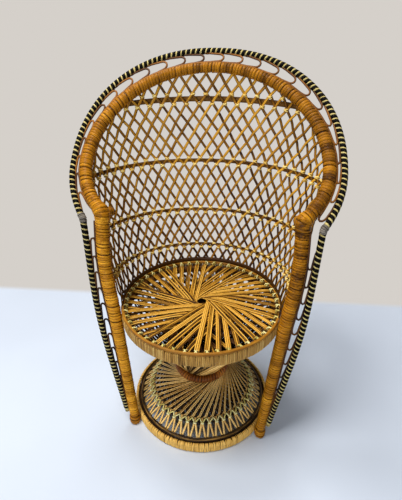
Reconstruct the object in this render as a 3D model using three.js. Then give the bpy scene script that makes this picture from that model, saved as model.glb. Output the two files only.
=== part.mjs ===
// A miniature peacock chair of rattan poles, cane, reed and twine.
// Millimetres, +Z up, the sitter faces -Y and the tall hooped back stands at +Y.
import * as THREE from 'three';

const degrees = THREE.MathUtils.degToRad;

// Clearance between pieces that touch
const GAP = 0.3;

// Seat
const SEAT_RADIUS = 90.5;
const SEAT_HEIGHT = 149;
const SEAT_BAND_HEIGHT = 14;
const SEAT_BAND_THICKNESS = 1.5;
const SEAT_MAT_THICKNESS = 2.4;
const SEAT_HOLE_RADIUS = 5.3;
const SEAT_BUNDLES = 30;
const SEAT_BUNDLE_STEP = 1.1;
const SEAT_POLE_RADIUS = 4;
const SEAT_ROD_RADIUS = 1.6;
const SEAT_LACE_WIDTH = 1.2;
const SEAT_LACE_REACH = 7;
const SEAT_LACE_STITCHES = 32;

// Hourglass pedestal
const BASE_RADIUS = 85;
const BASE_BAND_HEIGHT = 12;
const BASE_BAND_THICKNESS = 1.5;
const BASE_POLE_RADIUS = 4;
const WAIST_RADIUS = 28;
const WAIST_POLE_RADIUS = 4.5;
const WAIST_HEIGHT = 56;
const TWINE_RADIUS = 1.5;
const TWINE_SHARE = 0.68;
const STRAND_WIDTH = 2.2;
const STRAND_THICKNESS = 1.6;
const PEDESTAL_SECTORS = 6;
const SECTOR_COLUMNS = 2;
const UPPER_ROWS = 2;
const SKIRT_ROWS = 1;

// Hooped back: a round arch that leans back, drawn in below its widest point
const HOOP_HALF_WIDTH = 122.5;
const HOOP_RISE = 117;
const HOOP_DROP = 89;
const HOOP_END_ANGLE = degrees(126.5);
const HOOP_FULLNESS = 2;
const HOOP_LEAN = degrees(42);
const HOOP_CENTRE_Y = 18;
const HOOP_CENTRE_HEIGHT = 299.5;
const HOOP_POLE_RADIUS = 4.2;
const BINDING_THICKNESS = 1.3;

// Arms: knuckles where the hoop ends meet the legs
const KNUCKLE_RADIUS = 8.4;
const STUB_RADIUS = 5.4;
const STUB_LENGTH = 13.5;
const STUB_BACK_ANGLE = degrees(82);
const STUB_LIFT_ANGLE = degrees(-20);

// Front legs
const LEG_POLE_RADIUS = 4.8;
const LEG_SEAT_ANGLE = degrees(111.5);
const LEG_FOOT_ANGLE = degrees(125);
const LEG_BOW = 4;
const LEG_BOW_SHARE = 0.45;
const FOOT_RADIUS = 6.6;
const FOOT_HEIGHT = 14;

// Striped trim rod outside the hoop and the legs
const TRIM_SIDE_SPACING = 14;
const TRIM_TOP_SPACING = 21;
const TRIM_END_SPACING = 28;
const TRIM_SEAT_SPACING = 18.5;
const TRIM_ROD_RADIUS = 2.3;
const TRIM_WRAP_RADIUS = 0.5;
const TRIM_END_ANGLE = degrees(121);
const TRIM_FULLNESS = 2.2;
const TRIM_FOOT_HEIGHT = 18;
const TRIM_TOP_TURNS = 24;
const TRIM_SIDE_TURNS = 9;
const LASHING_RADIUS = 5;

// Scalloped cane edging between the frame and the trim
const CANE_RADIUS = 0.7;
const SCALLOP_REACH = 5.5;
const SCALLOP_BEND = 2;
const SCALLOP_DEPTH = 2.4;
const SCALLOP_TOP_LOOPS = 22;
const SCALLOP_SIDE_LOOPS = 8;
const SCALLOP_ARM_MARGIN = 24;
const SCALLOP_FOOT_MARGIN = 60;

// Diamond lattice of the back
const LATTICE_STRAND_WIDTH = 2.3;
const LATTICE_THICKNESS = 1.6;
const LATTICE_PANELS = 5;
const LATTICE_COLUMNS = 3;
const LATTICE_ROWS = 5;
const LATTICE_HOOP_MARGIN = 24;
const BAND_EDGE_SHARE = 0.03;
const REED_HEIGHT = 4;
const REED_THICKNESS = 1.1;
const LACE_WIDTH = 1.2;
const LACE_SPACING = 24;
// Reed bands: rise as a share from the seat to the hoop's top, side drop as a share of the hoop's half width
const BANDS = [
  { rise: 0.867, sideDrop: 0.089 },
  { rise: 0.578, sideDrop: 0.016 },
  { rise: 0.319, sideDrop: -0.032 },
  { rise: 0.115, sideDrop: -0.048 },
];

// Facet counts
const RING_STEPS = 28;
const POLE_SIDES = 8;
const ROD_SIDES = 6;
const STRAND_SIDES = 3;
const LOOP_STEPS = 7;
const HOOP_STEPS = 26;
const LEG_STEPS = 10;
const TRIM_TOP_STEPS = 36;
const TRIM_SIDE_STEPS = 14;
const KNOB_STEPS = 10;

// Outside radii of the bound poles and the wrapped trim
const HOOP_OUTER = HOOP_POLE_RADIUS + GAP + BINDING_THICKNESS;
const LEG_OUTER = LEG_POLE_RADIUS + GAP + BINDING_THICKNESS;
const TRIM_WRAP_PATH = (TRIM_ROD_RADIUS + GAP + TRIM_WRAP_RADIUS) / Math.cos(Math.PI / LOOP_STEPS);
const TRIM_OUTER = TRIM_WRAP_PATH + TRIM_WRAP_RADIUS;

// Stack of the seat and the pedestal
const MAT_RADIUS = SEAT_RADIUS - SEAT_BAND_THICKNESS - GAP;
const SEAT_POLE_RING = MAT_RADIUS - SEAT_POLE_RADIUS;
const SEAT_POLE_HEIGHT = SEAT_HEIGHT - SEAT_MAT_THICKNESS - GAP - SEAT_POLE_RADIUS;
const SEAT_ROD_RING = SEAT_RADIUS - SEAT_ROD_RADIUS;
const SEAT_ROD_HEIGHT = SEAT_HEIGHT + GAP + SEAT_ROD_RADIUS;
const BASE_POLE_RING = BASE_RADIUS - BASE_BAND_THICKNESS - GAP - BASE_POLE_RADIUS;
const BASE_POLE_HEIGHT = GAP + BASE_POLE_RADIUS;

const chair = new THREE.Group();

function addPiece(name, geometry, color, roughness = 0.6) {
  const material = new THREE.MeshStandardMaterial({ color, roughness, metalness: 0 });
  const mesh = new THREE.Mesh(geometry, material);
  mesh.name = name;
  chair.add(mesh);
  return mesh;
}

// A point at an angle from straight back, positive towards +X
function onCircle(angle, radius, height) {
  return new THREE.Vector3(radius * Math.sin(angle), radius * Math.cos(angle), height);
}

// Curves

// An arch whose shoulders above its widest point are an ellipse at a fullness of 2, and squarer above that
class HoopArc extends THREE.Curve {
  constructor(halfWidth, topHeight, drop, endAngle, fullness) {
    super();
    Object.assign(this, { halfWidth, topHeight, drop, endAngle, fullness });
  }

  getPoint(t, target = new THREE.Vector3()) {
    const angle = this.endAngle * (2 * t - 1);
    const [across, up] = [Math.sin(angle), Math.cos(angle)];
    const power = up > 0 ? this.fullness : 2;
    const reach = (Math.abs(across) ** power + Math.abs(up) ** power) ** (-1 / power);
    const rise = reach * up * (up > 0 ? this.topHeight : this.drop);
    const y = HOOP_CENTRE_Y + rise * Math.sin(HOOP_LEAN);
    const z = HOOP_CENTRE_HEIGHT + rise * Math.cos(HOOP_LEAN);
    return target.set(reach * this.halfWidth * across, y, z);
  }
}

// A curve with a length cut off each end
class Span extends THREE.Curve {
  constructor(curve, startCut, endCut) {
    super();
    const length = curve.getLength();
    Object.assign(this, { curve, start: startCut / length, end: 1 - endCut / length });
  }

  getPoint(t, target) {
    return this.curve.getPointAt(THREE.MathUtils.lerp(this.start, this.end, t), target);
  }
}

// The middle of the free space between two rods of different radius
class Between extends THREE.Curve {
  constructor(inner, outer, innerRadius, outerRadius) {
    super();
    Object.assign(this, { inner, outer, innerRadius, outerRadius });
  }

  freeWidth(t) {
    const distance = this.inner.getPoint(t).distanceTo(this.outer.getPoint(t));
    return distance - this.innerRadius - this.outerRadius;
  }

  getPoint(t, target = new THREE.Vector3()) {
    const start = this.inner.getPoint(t);
    const across = this.outer.getPoint(t).sub(start).normalize();
    return target.copy(start).addScaledVector(across, this.innerRadius + this.freeWidth(t) / 2);
  }
}

// Loops carried along a path: along it, across it and square to both
class Coil extends THREE.Curve {
  constructor(path, loops, side, along, across, depth) {
    super();
    Object.assign(this, { path, loops, side, along, across, depth });
    this.arcLengthDivisions = loops * 40;
  }

  getPoint(t, target = new THREE.Vector3()) {
    const turn = 2 * Math.PI * this.loops * t;
    const tangent = this.path.getTangent(t);
    const outward = this.side.clone().cross(tangent).normalize();
    const square = tangent.clone().cross(outward);
    return target.copy(this.path.getPoint(t))
      .addScaledVector(tangent, -this.along(t) * Math.sin(turn))
      .addScaledVector(outward, this.across(t) * Math.cos(turn))
      .addScaledVector(square, this.depth * Math.sin(turn));
  }

  leastGap(strandRadius) {
    const pointsPerLoop = 24;
    const points = this.getPoints(this.loops * pointsPerLoop);
    let least = Infinity;
    for (let i = 0; i < points.length; i += 1) {
      for (let j = i + pointsPerLoop / 3; j < points.length; j += 1) {
        least = Math.min(least, points[i].distanceTo(points[j]));
      }
    }
    return least - 2 * strandRadius;
  }
}

// Solids

function circle(radius, sides) {
  const corners = Array.from({ length: sides }, (_, i) => {
    const angle = (2 * Math.PI * i) / sides;
    return new THREE.Vector2(radius * Math.cos(angle), radius * Math.sin(angle));
  });
  return new THREE.Shape(corners);
}

function pole(curve, radius, steps, sides) {
  return new THREE.ExtrudeGeometry(circle(radius, sides), { steps, extrudePath: curve });
}

function sleeve(curve, boreRadius, thickness, steps) {
  const shape = circle(boreRadius + thickness, POLE_SIDES);
  shape.holes.push(circle(boreRadius, POLE_SIDES));
  return new THREE.ExtrudeGeometry(shape, { steps, extrudePath: curve });
}

function ring(radius, poleRadius, height) {
  return new THREE.TorusGeometry(radius, poleRadius, POLE_SIDES, RING_STEPS).translate(0, 0, height);
}

// A solid turned about +Z from a profile of [radius, height] pairs
function turned(profile, steps) {
  const points = profile.map(([radius, height]) => new THREE.Vector2(radius, height));
  return new THREE.LatheGeometry(points, steps).rotateX(Math.PI / 2);
}

// A flat hoop of rectangular section
function flatRing(innerRadius, outerRadius, bottom, top) {
  return turned([
    [innerRadius, bottom],
    [outerRadius, bottom],
    [outerRadius, top],
    [innerRadius, top],
    [innerRadius, bottom],
  ], RING_STEPS);
}

function solid(positions, index) {
  const geometry = new THREE.BufferGeometry();
  geometry.setAttribute('position', new THREE.Float32BufferAttribute(positions, 3));
  geometry.setIndex(index);
  return geometry;
}

// A sheet of four-sided faces given a thickness about its middle surface
function thickSheet(vertices, faces, thickness) {
  const place = (side) => vertices.flatMap(({ point, normal }) => (
    point.clone().addScaledVector(normal, side * thickness / 2).toArray()
  ));
  const inner = vertices.length;
  const index = [];
  const addQuad = (a, b, c, d) => index.push(a, b, c, a, c, d);
  const edges = new Set();
  for (const face of faces) {
    face.forEach((from, i) => edges.add(`${from},${face[(i + 1) % 4]}`));
  }
  for (const face of faces) {
    addQuad(...face);
    addQuad(...face.map((corner) => corner + inner).reverse());
    face.forEach((from, i) => {
      const to = face[(i + 1) % 4];
      if (!edges.has(`${to},${from}`)) {
        addQuad(from + inner, to + inner, to, from);
      }
    });
  }
  return solid([...place(1), ...place(-1)], index);
}

// Slopes and outward normal of a surface(u, v) with u and v from 0 to 1
function surfaceAt(surface, u, v) {
  const step = 0.01;
  const slopeU = surface(u + step, v).sub(surface(u - step, v)).divideScalar(2 * step);
  const slopeV = surface(u, v + step).sub(surface(u, v - step)).divideScalar(2 * step);
  const normal = slopeU.clone().cross(slopeV).normalize();
  return { lengthU: slopeU.length(), lengthV: slopeV.length(), normal };
}

// A diamond net: crossings on a staggered grid, joined by slanting strands
function diamondNet(surface, columns, rows, strandWidth, thickness) {
  const vertices = [];
  const faces = [];
  const crossings = new Map();
  const corners = [[1, 0], [0, 1], [-1, 0], [0, -1]];
  const half = strandWidth * Math.SQRT1_2;
  for (let row = 0; row <= 2 * rows; row += 1) {
    for (let column = row % 2; column <= 2 * columns; column += 2) {
      const roughV = row / (2 * rows);
      const edgeU = (half + GAP / 2) / surfaceAt(surface, 0.5, roughV).lengthU;
      const u = THREE.MathUtils.lerp(edgeU, 1 - edgeU, column / (2 * columns));
      const edgeV = half / surfaceAt(surface, u, 0.5).lengthV;
      const v = THREE.MathUtils.lerp(edgeV, 1 - edgeV, roughV);
      const local = surfaceAt(surface, u, v);
      crossings.set(`${column},${row}`, vertices.length);
      for (const [right, up] of corners) {
        const point = surface(u + (right * half) / local.lengthU, v + (up * half) / local.lengthV);
        vertices.push({ point, normal: local.normal });
      }
    }
  }
  for (const [place, first] of crossings) {
    const [column, row] = place.split(',').map(Number);
    const [right, top, left] = [first, first + 1, first + 2];
    faces.push([first, first + 1, first + 2, first + 3]);
    const rising = crossings.get(`${column + 1},${row + 1}`);
    if (rising !== undefined) {
      faces.push([right, rising + 3, rising + 2, top]);
    }
    const falling = crossings.get(`${column - 1},${row + 1}`);
    if (falling !== undefined) {
      faces.push([top, falling, falling + 3, left]);
    }
  }
  return thickSheet(vertices, faces, thickness);
}

// A flat strip through stations { point, up, normal }, closed into a ring or open
function strip(stations, height, thickness, closed) {
  const vertices = stations.flatMap(({ point, up, normal }) => [-1, 1].map((side) => (
    { point: point.clone().addScaledVector(up, side * height / 2), normal }
  )));
  const faces = [];
  const last = closed ? stations.length : stations.length - 1;
  for (let i = 0; i < last; i += 1) {
    const here = 2 * i;
    const next = 2 * ((i + 1) % stations.length);
    faces.push([here, next, next + 1, here + 1]);
  }
  return thickSheet(vertices, faces, thickness);
}

// Frame: hoop, legs, knuckles and feet

const hoop = new HoopArc(HOOP_HALF_WIDTH, HOOP_RISE, HOOP_DROP, HOOP_END_ANGLE, HOOP_FULLNESS);
const trim = new HoopArc(
  HOOP_HALF_WIDTH + TRIM_SIDE_SPACING,
  HOOP_RISE + TRIM_TOP_SPACING,
  HOOP_DROP + TRIM_END_SPACING,
  TRIM_END_ANGLE,
  TRIM_FULLNESS,
);
const SIDES = [{ name: 'left', sign: -1, end: 0 }, { name: 'right', sign: 1, end: 1 }];

function footPlace(sign) {
  return onCircle(sign * LEG_FOOT_ANGLE, BASE_RADIUS + FOOT_RADIUS + GAP, 0);
}

function legAtSeat(sign) {
  const height = SEAT_HEIGHT - SEAT_BAND_HEIGHT / 2;
  return onCircle(sign * LEG_SEAT_ANGLE, SEAT_RADIUS + LEG_OUTER + GAP, height);
}

// From the knuckle down to the foot, bowed outwards above the seat
function legCurve({ sign, end }) {
  const top = hoop.getPoint(end);
  const seat = legAtSeat(sign);
  const bow = top.clone().lerp(seat, LEG_BOW_SHARE);
  bow.x += sign * LEG_BOW;
  const foot = footPlace(sign);
  const lean = Math.hypot(seat.x - foot.x, seat.y - foot.y) / seat.z;
  foot.z = FOOT_HEIGHT + GAP + lean * LEG_OUTER;
  return new THREE.CatmullRomCurve3([top, bow, seat, foot]);
}

// From the lashing down to the foot
function sideTrimCurve({ sign, end }) {
  const seat = legAtSeat(sign);
  const foot = footPlace(sign);
  seat.x += sign * TRIM_SEAT_SPACING;
  foot.x += sign * (FOOT_RADIUS + GAP + TRIM_OUTER);
  foot.z = TRIM_FOOT_HEIGHT;
  return new THREE.CatmullRomCurve3([trim.getPoint(end), seat, foot]);
}

function addHoop() {
  const curve = new Span(hoop, KNUCKLE_RADIUS + GAP, KNUCKLE_RADIUS + GAP);
  addPiece('hoop_pole', pole(curve, HOOP_POLE_RADIUS, HOOP_STEPS, POLE_SIDES), '#8a5a22');
  const binding = sleeve(curve, HOOP_POLE_RADIUS + GAP, BINDING_THICKNESS, HOOP_STEPS);
  addPiece('hoop_binding', binding, '#c98e22', 0.45);
}

function addLeg(side) {
  const curve = new Span(legCurve(side), KNUCKLE_RADIUS + GAP, 0);
  addPiece(`${side.name}_leg_pole`, pole(curve, LEG_POLE_RADIUS, LEG_STEPS, POLE_SIDES), '#8a5a22');
  const binding = sleeve(curve, LEG_POLE_RADIUS + GAP, BINDING_THICKNESS, LEG_STEPS);
  addPiece(`${side.name}_leg_binding`, binding, '#c98e22', 0.45);
}

// A bound ball with a stub that points back and a little down
function addKnuckle({ name, sign, end }) {
  const neck = Math.sqrt(KNUCKLE_RADIUS ** 2 - STUB_RADIUS ** 2);
  const neckAngle = Math.asin(STUB_RADIUS / KNUCKLE_RADIUS);
  const arcSteps = 6;
  const ball = Array.from({ length: arcSteps + 1 }, (_, i) => {
    const angle = THREE.MathUtils.lerp(Math.PI, neckAngle, i / arcSteps);
    return [KNUCKLE_RADIUS * Math.sin(angle), KNUCKLE_RADIUS * Math.cos(angle)];
  });
  ball[0][0] = 0;
  const stub = [[STUB_RADIUS, neck + STUB_LENGTH], [0, neck + STUB_LENGTH]];
  const mesh = addPiece(`${name}_knuckle`, turned([...ball, ...stub], KNOB_STEPS), '#d09a2c', 0.45);
  mesh.rotation.set(0, -sign * (Math.PI / 2 - STUB_LIFT_ANGLE), -sign * STUB_BACK_ANGLE, 'ZYX');
  mesh.position.copy(hoop.getPoint(end));
}

function addFoot({ name, sign }) {
  const bevel = FOOT_RADIUS / 4;
  const foot = turned([
    [0, 0],
    [FOOT_RADIUS - bevel, 0],
    [FOOT_RADIUS, bevel],
    [FOOT_RADIUS, FOOT_HEIGHT - bevel],
    [FOOT_RADIUS - bevel, FOOT_HEIGHT],
    [0, FOOT_HEIGHT],
  ], KNOB_STEPS);
  addPiece(`${name}_foot`, foot, '#b97f24', 0.5).position.copy(footPlace(sign));
}

// Trim: striped rod, its black wrapping, lashings and the scalloped edging

function addCoil(name, coil, strandRadius, color) {
  const steps = coil.loops * LOOP_STEPS;
  addPiece(name, pole(coil, strandRadius, steps, STRAND_SIDES), color);
  console.log(`${name}: least gap to itself ${coil.leastGap(strandRadius).toFixed(2)} mm`);
}

function addTrim(name, curve, turns, side, steps) {
  addPiece(`${name}_rod`, pole(curve, TRIM_ROD_RADIUS, steps, ROD_SIDES), '#ece0a4', 0.5);
  const wrapping = new Coil(curve, turns, side, () => 0, () => TRIM_WRAP_PATH, TRIM_WRAP_PATH);
  addCoil(`${name}_wrapping`, wrapping, TRIM_WRAP_RADIUS, '#14100e');
}

function addScallops(name, path, loops, side) {
  const room = GAP + CANE_RADIUS;
  const across = (t) => Math.max(path.freeWidth(t) / 2 - room, 0);
  const along = (t) => Math.min(SCALLOP_REACH, across(t) ** 2 / SCALLOP_BEND);
  const coil = new Coil(path, loops, side, along, across, SCALLOP_DEPTH);
  addCoil(name, coil, CANE_RADIUS, '#74401a');
}

function addTrims() {
  const cut = LASHING_RADIUS + GAP;
  const hoopSquare = new THREE.Vector3(0, Math.cos(HOOP_LEAN), -Math.sin(HOOP_LEAN));
  const topTrim = new Span(trim, cut, cut);
  addTrim('top_trim', topTrim, TRIM_TOP_TURNS, hoopSquare, TRIM_TOP_STEPS);
  const clear = (curve, endCut) => new Span(curve, SCALLOP_ARM_MARGIN, endCut);
  const inner = clear(hoop, SCALLOP_ARM_MARGIN);
  const hoopEdge = new Between(inner, clear(trim, SCALLOP_ARM_MARGIN), HOOP_OUTER, TRIM_OUTER);
  addScallops('hoop_scallops', hoopEdge, SCALLOP_TOP_LOOPS, hoopSquare);
  for (const side of SIDES) {
    const back = new THREE.Vector3(0, side.sign, 0);
    const curve = sideTrimCurve(side);
    addTrim(`${side.name}_side_trim`, new Span(curve, cut, 0), TRIM_SIDE_TURNS, back, TRIM_SIDE_STEPS);

    const lashing = new THREE.SphereGeometry(LASHING_RADIUS, KNOB_STEPS, KNOB_STEPS / 2);
    addPiece(`${side.name}_trim_lashing`, lashing, '#77716a', 0.7).position.copy(trim.getPoint(side.end));
    const leg = clear(legCurve(side), SCALLOP_FOOT_MARGIN);
    const legEdge = new Between(leg, clear(curve, SCALLOP_FOOT_MARGIN), LEG_OUTER, TRIM_OUTER);
    addScallops(`${side.name}_leg_scallops`, legEdge, SCALLOP_SIDE_LOOPS, back);
  }
}

// Seat

function addSeat() {
  const bandInner = SEAT_RADIUS - SEAT_BAND_THICKNESS;
  const band = flatRing(bandInner, SEAT_RADIUS, SEAT_HEIGHT - SEAT_BAND_HEIGHT, SEAT_HEIGHT);
  addPiece('seat_rim_band', band, '#c8aa6e');
  addPiece('seat_ring_pole', ring(SEAT_POLE_RING, SEAT_POLE_RADIUS, SEAT_POLE_HEIGHT), '#8a5a22');
  addPiece('seat_rim_rod', ring(SEAT_ROD_RING, SEAT_ROD_RADIUS, SEAT_ROD_HEIGHT), '#b4662a');
  addPiece('seat_mat', pinwheel(), '#dca53c');
  addPiece('seat_rim_lacing', seatLacing(), '#e1d782');
}

// Flat bundles of reed that run from the rim past the hole, each one lying over the next
function pinwheel() {
  const rimRadius = MAT_RADIUS * Math.cos(Math.PI / RING_STEPS);
  const swirl = Math.acos(SEAT_HOLE_RADIUS / rimRadius);
  const bottom = SEAT_HEIGHT - SEAT_MAT_THICKNESS;
  const heights = [bottom, SEAT_HEIGHT - SEAT_BUNDLE_STEP, SEAT_HEIGHT];
  const positions = [];
  for (let bundle = 0; bundle < SEAT_BUNDLES; bundle += 1) {
    const angle = (-2 * Math.PI * bundle) / SEAT_BUNDLES;
    for (const height of heights) {
      positions.push(...onCircle(angle, SEAT_HOLE_RADIUS, height));
      positions.push(...onCircle(angle + swirl, rimRadius, height));
    }
  }
  const edgeOf = (bundle) => heights.map((_, level) => {
    const hole = 2 * (heights.length * (bundle % SEAT_BUNDLES) + level);
    return { hole, rim: hole + 1 };
  });
  const index = [];
  const addFace = (first, ...others) => {
    others.slice(1).forEach((corner, i) => index.push(first, others[i], corner));
  };
  for (let bundle = 0; bundle < SEAT_BUNDLES; bundle += 1) {
    const [base, low, high] = edgeOf(bundle);
    const [nextBase, nextLow, nextHigh] = edgeOf(bundle + 1);
    addFace(high.hole, high.rim, nextLow.rim, nextLow.hole);
    addFace(nextLow.hole, nextLow.rim, nextHigh.rim, nextHigh.hole);
    addFace(base.hole, nextBase.hole, nextBase.rim, base.rim);
    addFace(nextBase.rim, nextLow.rim, high.rim, low.rim, base.rim);
    addFace(nextBase.hole, base.hole, low.hole, high.hole, nextLow.hole);
  }
  return solid(positions, index);
}

// A twine that zigzags over the edge of the mat
function seatLacing() {
  const outer = SEAT_ROD_RING - SEAT_ROD_RADIUS - GAP - SEAT_LACE_WIDTH / 2;
  const height = SEAT_HEIGHT + GAP + SEAT_LACE_WIDTH / 2;
  const stations = Array.from({ length: 2 * SEAT_LACE_STITCHES }, (_, i) => {
    const angle = (-Math.PI * i) / SEAT_LACE_STITCHES;
    const radius = i % 2 ? outer - SEAT_LACE_REACH : outer;
    return {
      point: onCircle(angle, radius, height),
      up: onCircle(angle, 1, 0),
      normal: new THREE.Vector3(0, 0, 1),
    };
  });
  return strip(stations.reverse(), SEAT_LACE_WIDTH, SEAT_LACE_WIDTH, true);
}

// Pedestal

// A sector of a cone from a lower to an upper ring, seen from outside
function coneSector(sector, lower, upper) {
  const width = (2 * Math.PI) / PEDESTAL_SECTORS;
  return (u, v) => {
    const angle = -width * (sector + u);
    const radius = THREE.MathUtils.lerp(lower.radius, upper.radius, v);
    return onCircle(angle, radius, THREE.MathUtils.lerp(lower.height, upper.height, v));
  };
}

function addCone(name, lower, upper, rows, color) {
  for (let sector = 0; sector < PEDESTAL_SECTORS; sector += 1) {
    const surface = coneSector(sector, lower, upper);
    const net = diamondNet(surface, SECTOR_COLUMNS, rows, STRAND_WIDTH, STRAND_THICKNESS);
    addPiece(`${name}_${sector + 1}`, net, color);
  }
}

function addPedestal() {
  const seam = GAP + STRAND_THICKNESS / 2;
  const baseTop = BASE_POLE_HEIGHT + BASE_POLE_RADIUS + seam;
  const waistBottom = WAIST_HEIGHT - WAIST_POLE_RADIUS - seam;
  const skirtFoot = { radius: BASE_POLE_RING, height: baseTop };
  const skirtTop = { radius: WAIST_RADIUS, height: waistBottom };
  const upperFoot = { radius: WAIST_RADIUS, height: WAIST_HEIGHT + WAIST_POLE_RADIUS + seam };
  const upperTop = { radius: SEAT_POLE_RING, height: SEAT_POLE_HEIGHT - SEAT_POLE_RADIUS - seam };
  const bandInner = BASE_RADIUS - BASE_BAND_THICKNESS;
  addPiece('base_rim_band', flatRing(bandInner, BASE_RADIUS, 0, BASE_BAND_HEIGHT), '#dcaa50');
  addPiece('base_ring_pole', ring(BASE_POLE_RING, BASE_POLE_RADIUS, BASE_POLE_HEIGHT), '#8a5a22');
  addPiece('waist_ring', ring(WAIST_RADIUS, WAIST_POLE_RADIUS, WAIST_HEIGHT), '#aa5f1e');
  addCone('skirt_strands', skirtFoot, skirtTop, SKIRT_ROWS, '#a8762c');
  addCone('upper_strands', upperFoot, upperTop, UPPER_ROWS, '#b98434');
  const slope = new THREE.Vector2(skirtFoot.radius - skirtTop.radius, skirtFoot.height - skirtTop.height);
  const offset = STRAND_THICKNESS / 2 + GAP + TWINE_RADIUS;
  const twineRing = skirtTop.radius + TWINE_SHARE * slope.x - (offset * slope.y) / slope.length();
  const twineHeight = skirtTop.height + TWINE_SHARE * slope.y + (offset * slope.x) / slope.length();
  addPiece('skirt_twine', ring(twineRing, TWINE_RADIUS, twineHeight), '#e1d782');
}

// Woven back

const LATTICE_EDGE_ANGLE = LEG_SEAT_ANGLE - (LEG_OUTER + GAP + LATTICE_STRAND_WIDTH) / SEAT_RADIUS;
const LATTICE_REACH = 1 - (2 * LATTICE_HOOP_MARGIN) / hoop.getLength();
const LATTICE_FOOT = SEAT_ROD_HEIGHT + SEAT_ROD_RADIUS + GAP;
const HOOP_TOP_HEIGHT = hoop.getPoint(0.5).z;

// One upright line of the back, from the seat rim to just short of the hoop, at u from -1 to 1
function latticeLine(u) {
  const foot = onCircle(u * LATTICE_EDGE_ANGLE, SEAT_ROD_RING, LATTICE_FOOT);
  const place = THREE.MathUtils.clamp(0.5 + 0.5 * u * LATTICE_REACH, 0, 1);
  const anchor = hoop.getPointAt(place);
  const direction = anchor.clone().sub(foot).normalize();
  const slant = direction.clone().cross(hoop.getTangentAt(place)).length();
  const clear = (HOOP_OUTER + GAP + LATTICE_THICKNESS / 2) / slant;
  return new THREE.Line3(foot, anchor.addScaledVector(direction, -clear));
}

// The back seen from outside, so u runs from right to left
function backSurface(u, v) {
  return latticeLine(1 - 2 * u).at(v, new THREE.Vector3());
}

function addLattice() {
  for (let panel = 0; panel < LATTICE_PANELS; panel += 1) {
    const surface = (u, v) => backSurface((panel + u) / LATTICE_PANELS, v);
    const net = diamondNet(surface, LATTICE_COLUMNS, LATTICE_ROWS, LATTICE_STRAND_WIDTH, LATTICE_THICKNESS);
    addPiece(`lattice_panel_${panel + 1}`, net, '#b98a34');
  }
}

// The place of a band on the back, set in from the lattice by a depth
function bandStation(band, u, depth) {
  const line = latticeLine(1 - 2 * u);
  const angle = (1 - 2 * u) * LATTICE_EDGE_ANGLE;
  const middle = THREE.MathUtils.lerp(SEAT_HEIGHT, HOOP_TOP_HEIGHT, band.rise);
  const height = middle - band.sideDrop * HOOP_HALF_WIDTH * (1 - Math.cos(angle));
  const v = (height - line.start.z) / (line.end.z - line.start.z);
  const { normal } = surfaceAt(backSurface, u, v);
  const up = line.delta(new THREE.Vector3()).normalize();
  return { point: backSurface(u, v).addScaledVector(normal, -depth), up, normal, v };
}

// The share of the back, from its right edge, at which a band clears the hoop
function bandStart(band) {
  const step = 0.01;
  const highest = 1 - REED_HEIGHT / latticeLine(0).distance();
  let start = BAND_EDGE_SHARE;
  while (bandStation(band, start, 0).v > highest && start < 0.5 - BAND_EDGE_SHARE) {
    start += step;
  }
  return start;
}

function bandLength(at) {
  const steps = 20;
  const points = Array.from({ length: steps + 1 }, (_, k) => at(k / steps, 0).point);
  return points.slice(1).reduce((sum, point, k) => sum + point.distanceTo(points[k]), 0);
}

function addBands() {
  const reedDepth = LATTICE_THICKNESS / 2 + GAP + REED_THICKNESS / 2;
  const laceDepth = reedDepth + REED_THICKNESS / 2 + GAP + LACE_WIDTH / 2;
  BANDS.forEach((band, i) => {
    const start = bandStart(band);
    const at = (share, depth) => bandStation(band, THREE.MathUtils.lerp(start, 1 - start, share), depth);
    const stitches = 2 * Math.round(bandLength(at) / LACE_SPACING);
    const stations = (depth) => Array.from({ length: stitches + 1 }, (_, k) => at(k / stitches, depth));
    addPiece(`band_${i + 1}_reed`, strip(stations(reedDepth), REED_HEIGHT, REED_THICKNESS, false), '#4a2f14');
    const lace = stations(laceDepth);
    lace.forEach(({ point, up }, k) => {
      point.addScaledVector(up, (k % 2 ? 1 : -1) * (REED_HEIGHT - LACE_WIDTH) / 2);
    });
    addPiece(`band_${i + 1}_lacing`, strip(lace, LACE_WIDTH, LACE_WIDTH, false), '#e1d782');
  });
}

addHoop();
for (const side of SIDES) {
  addLeg(side);
  addKnuckle(side);
  addFoot(side);
}
addTrims();
addSeat();
addPedestal();
addLattice();
addBands();

// The origin is on the floor under the middle of the chair
const middle = new THREE.Box3().setFromObject(chair).getCenter(new THREE.Vector3());
chair.position.set(-middle.x, -middle.y, 0);

export default chair;
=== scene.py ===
"""Dresses a miniature peacock chair in bound cane, woven reed and twine."""
import bisect
import functools
import math
import random

import bmesh
import bpy
from bpy.props import FloatProperty, FloatVectorProperty, IntProperty, PointerProperty
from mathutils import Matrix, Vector, noise


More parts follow.
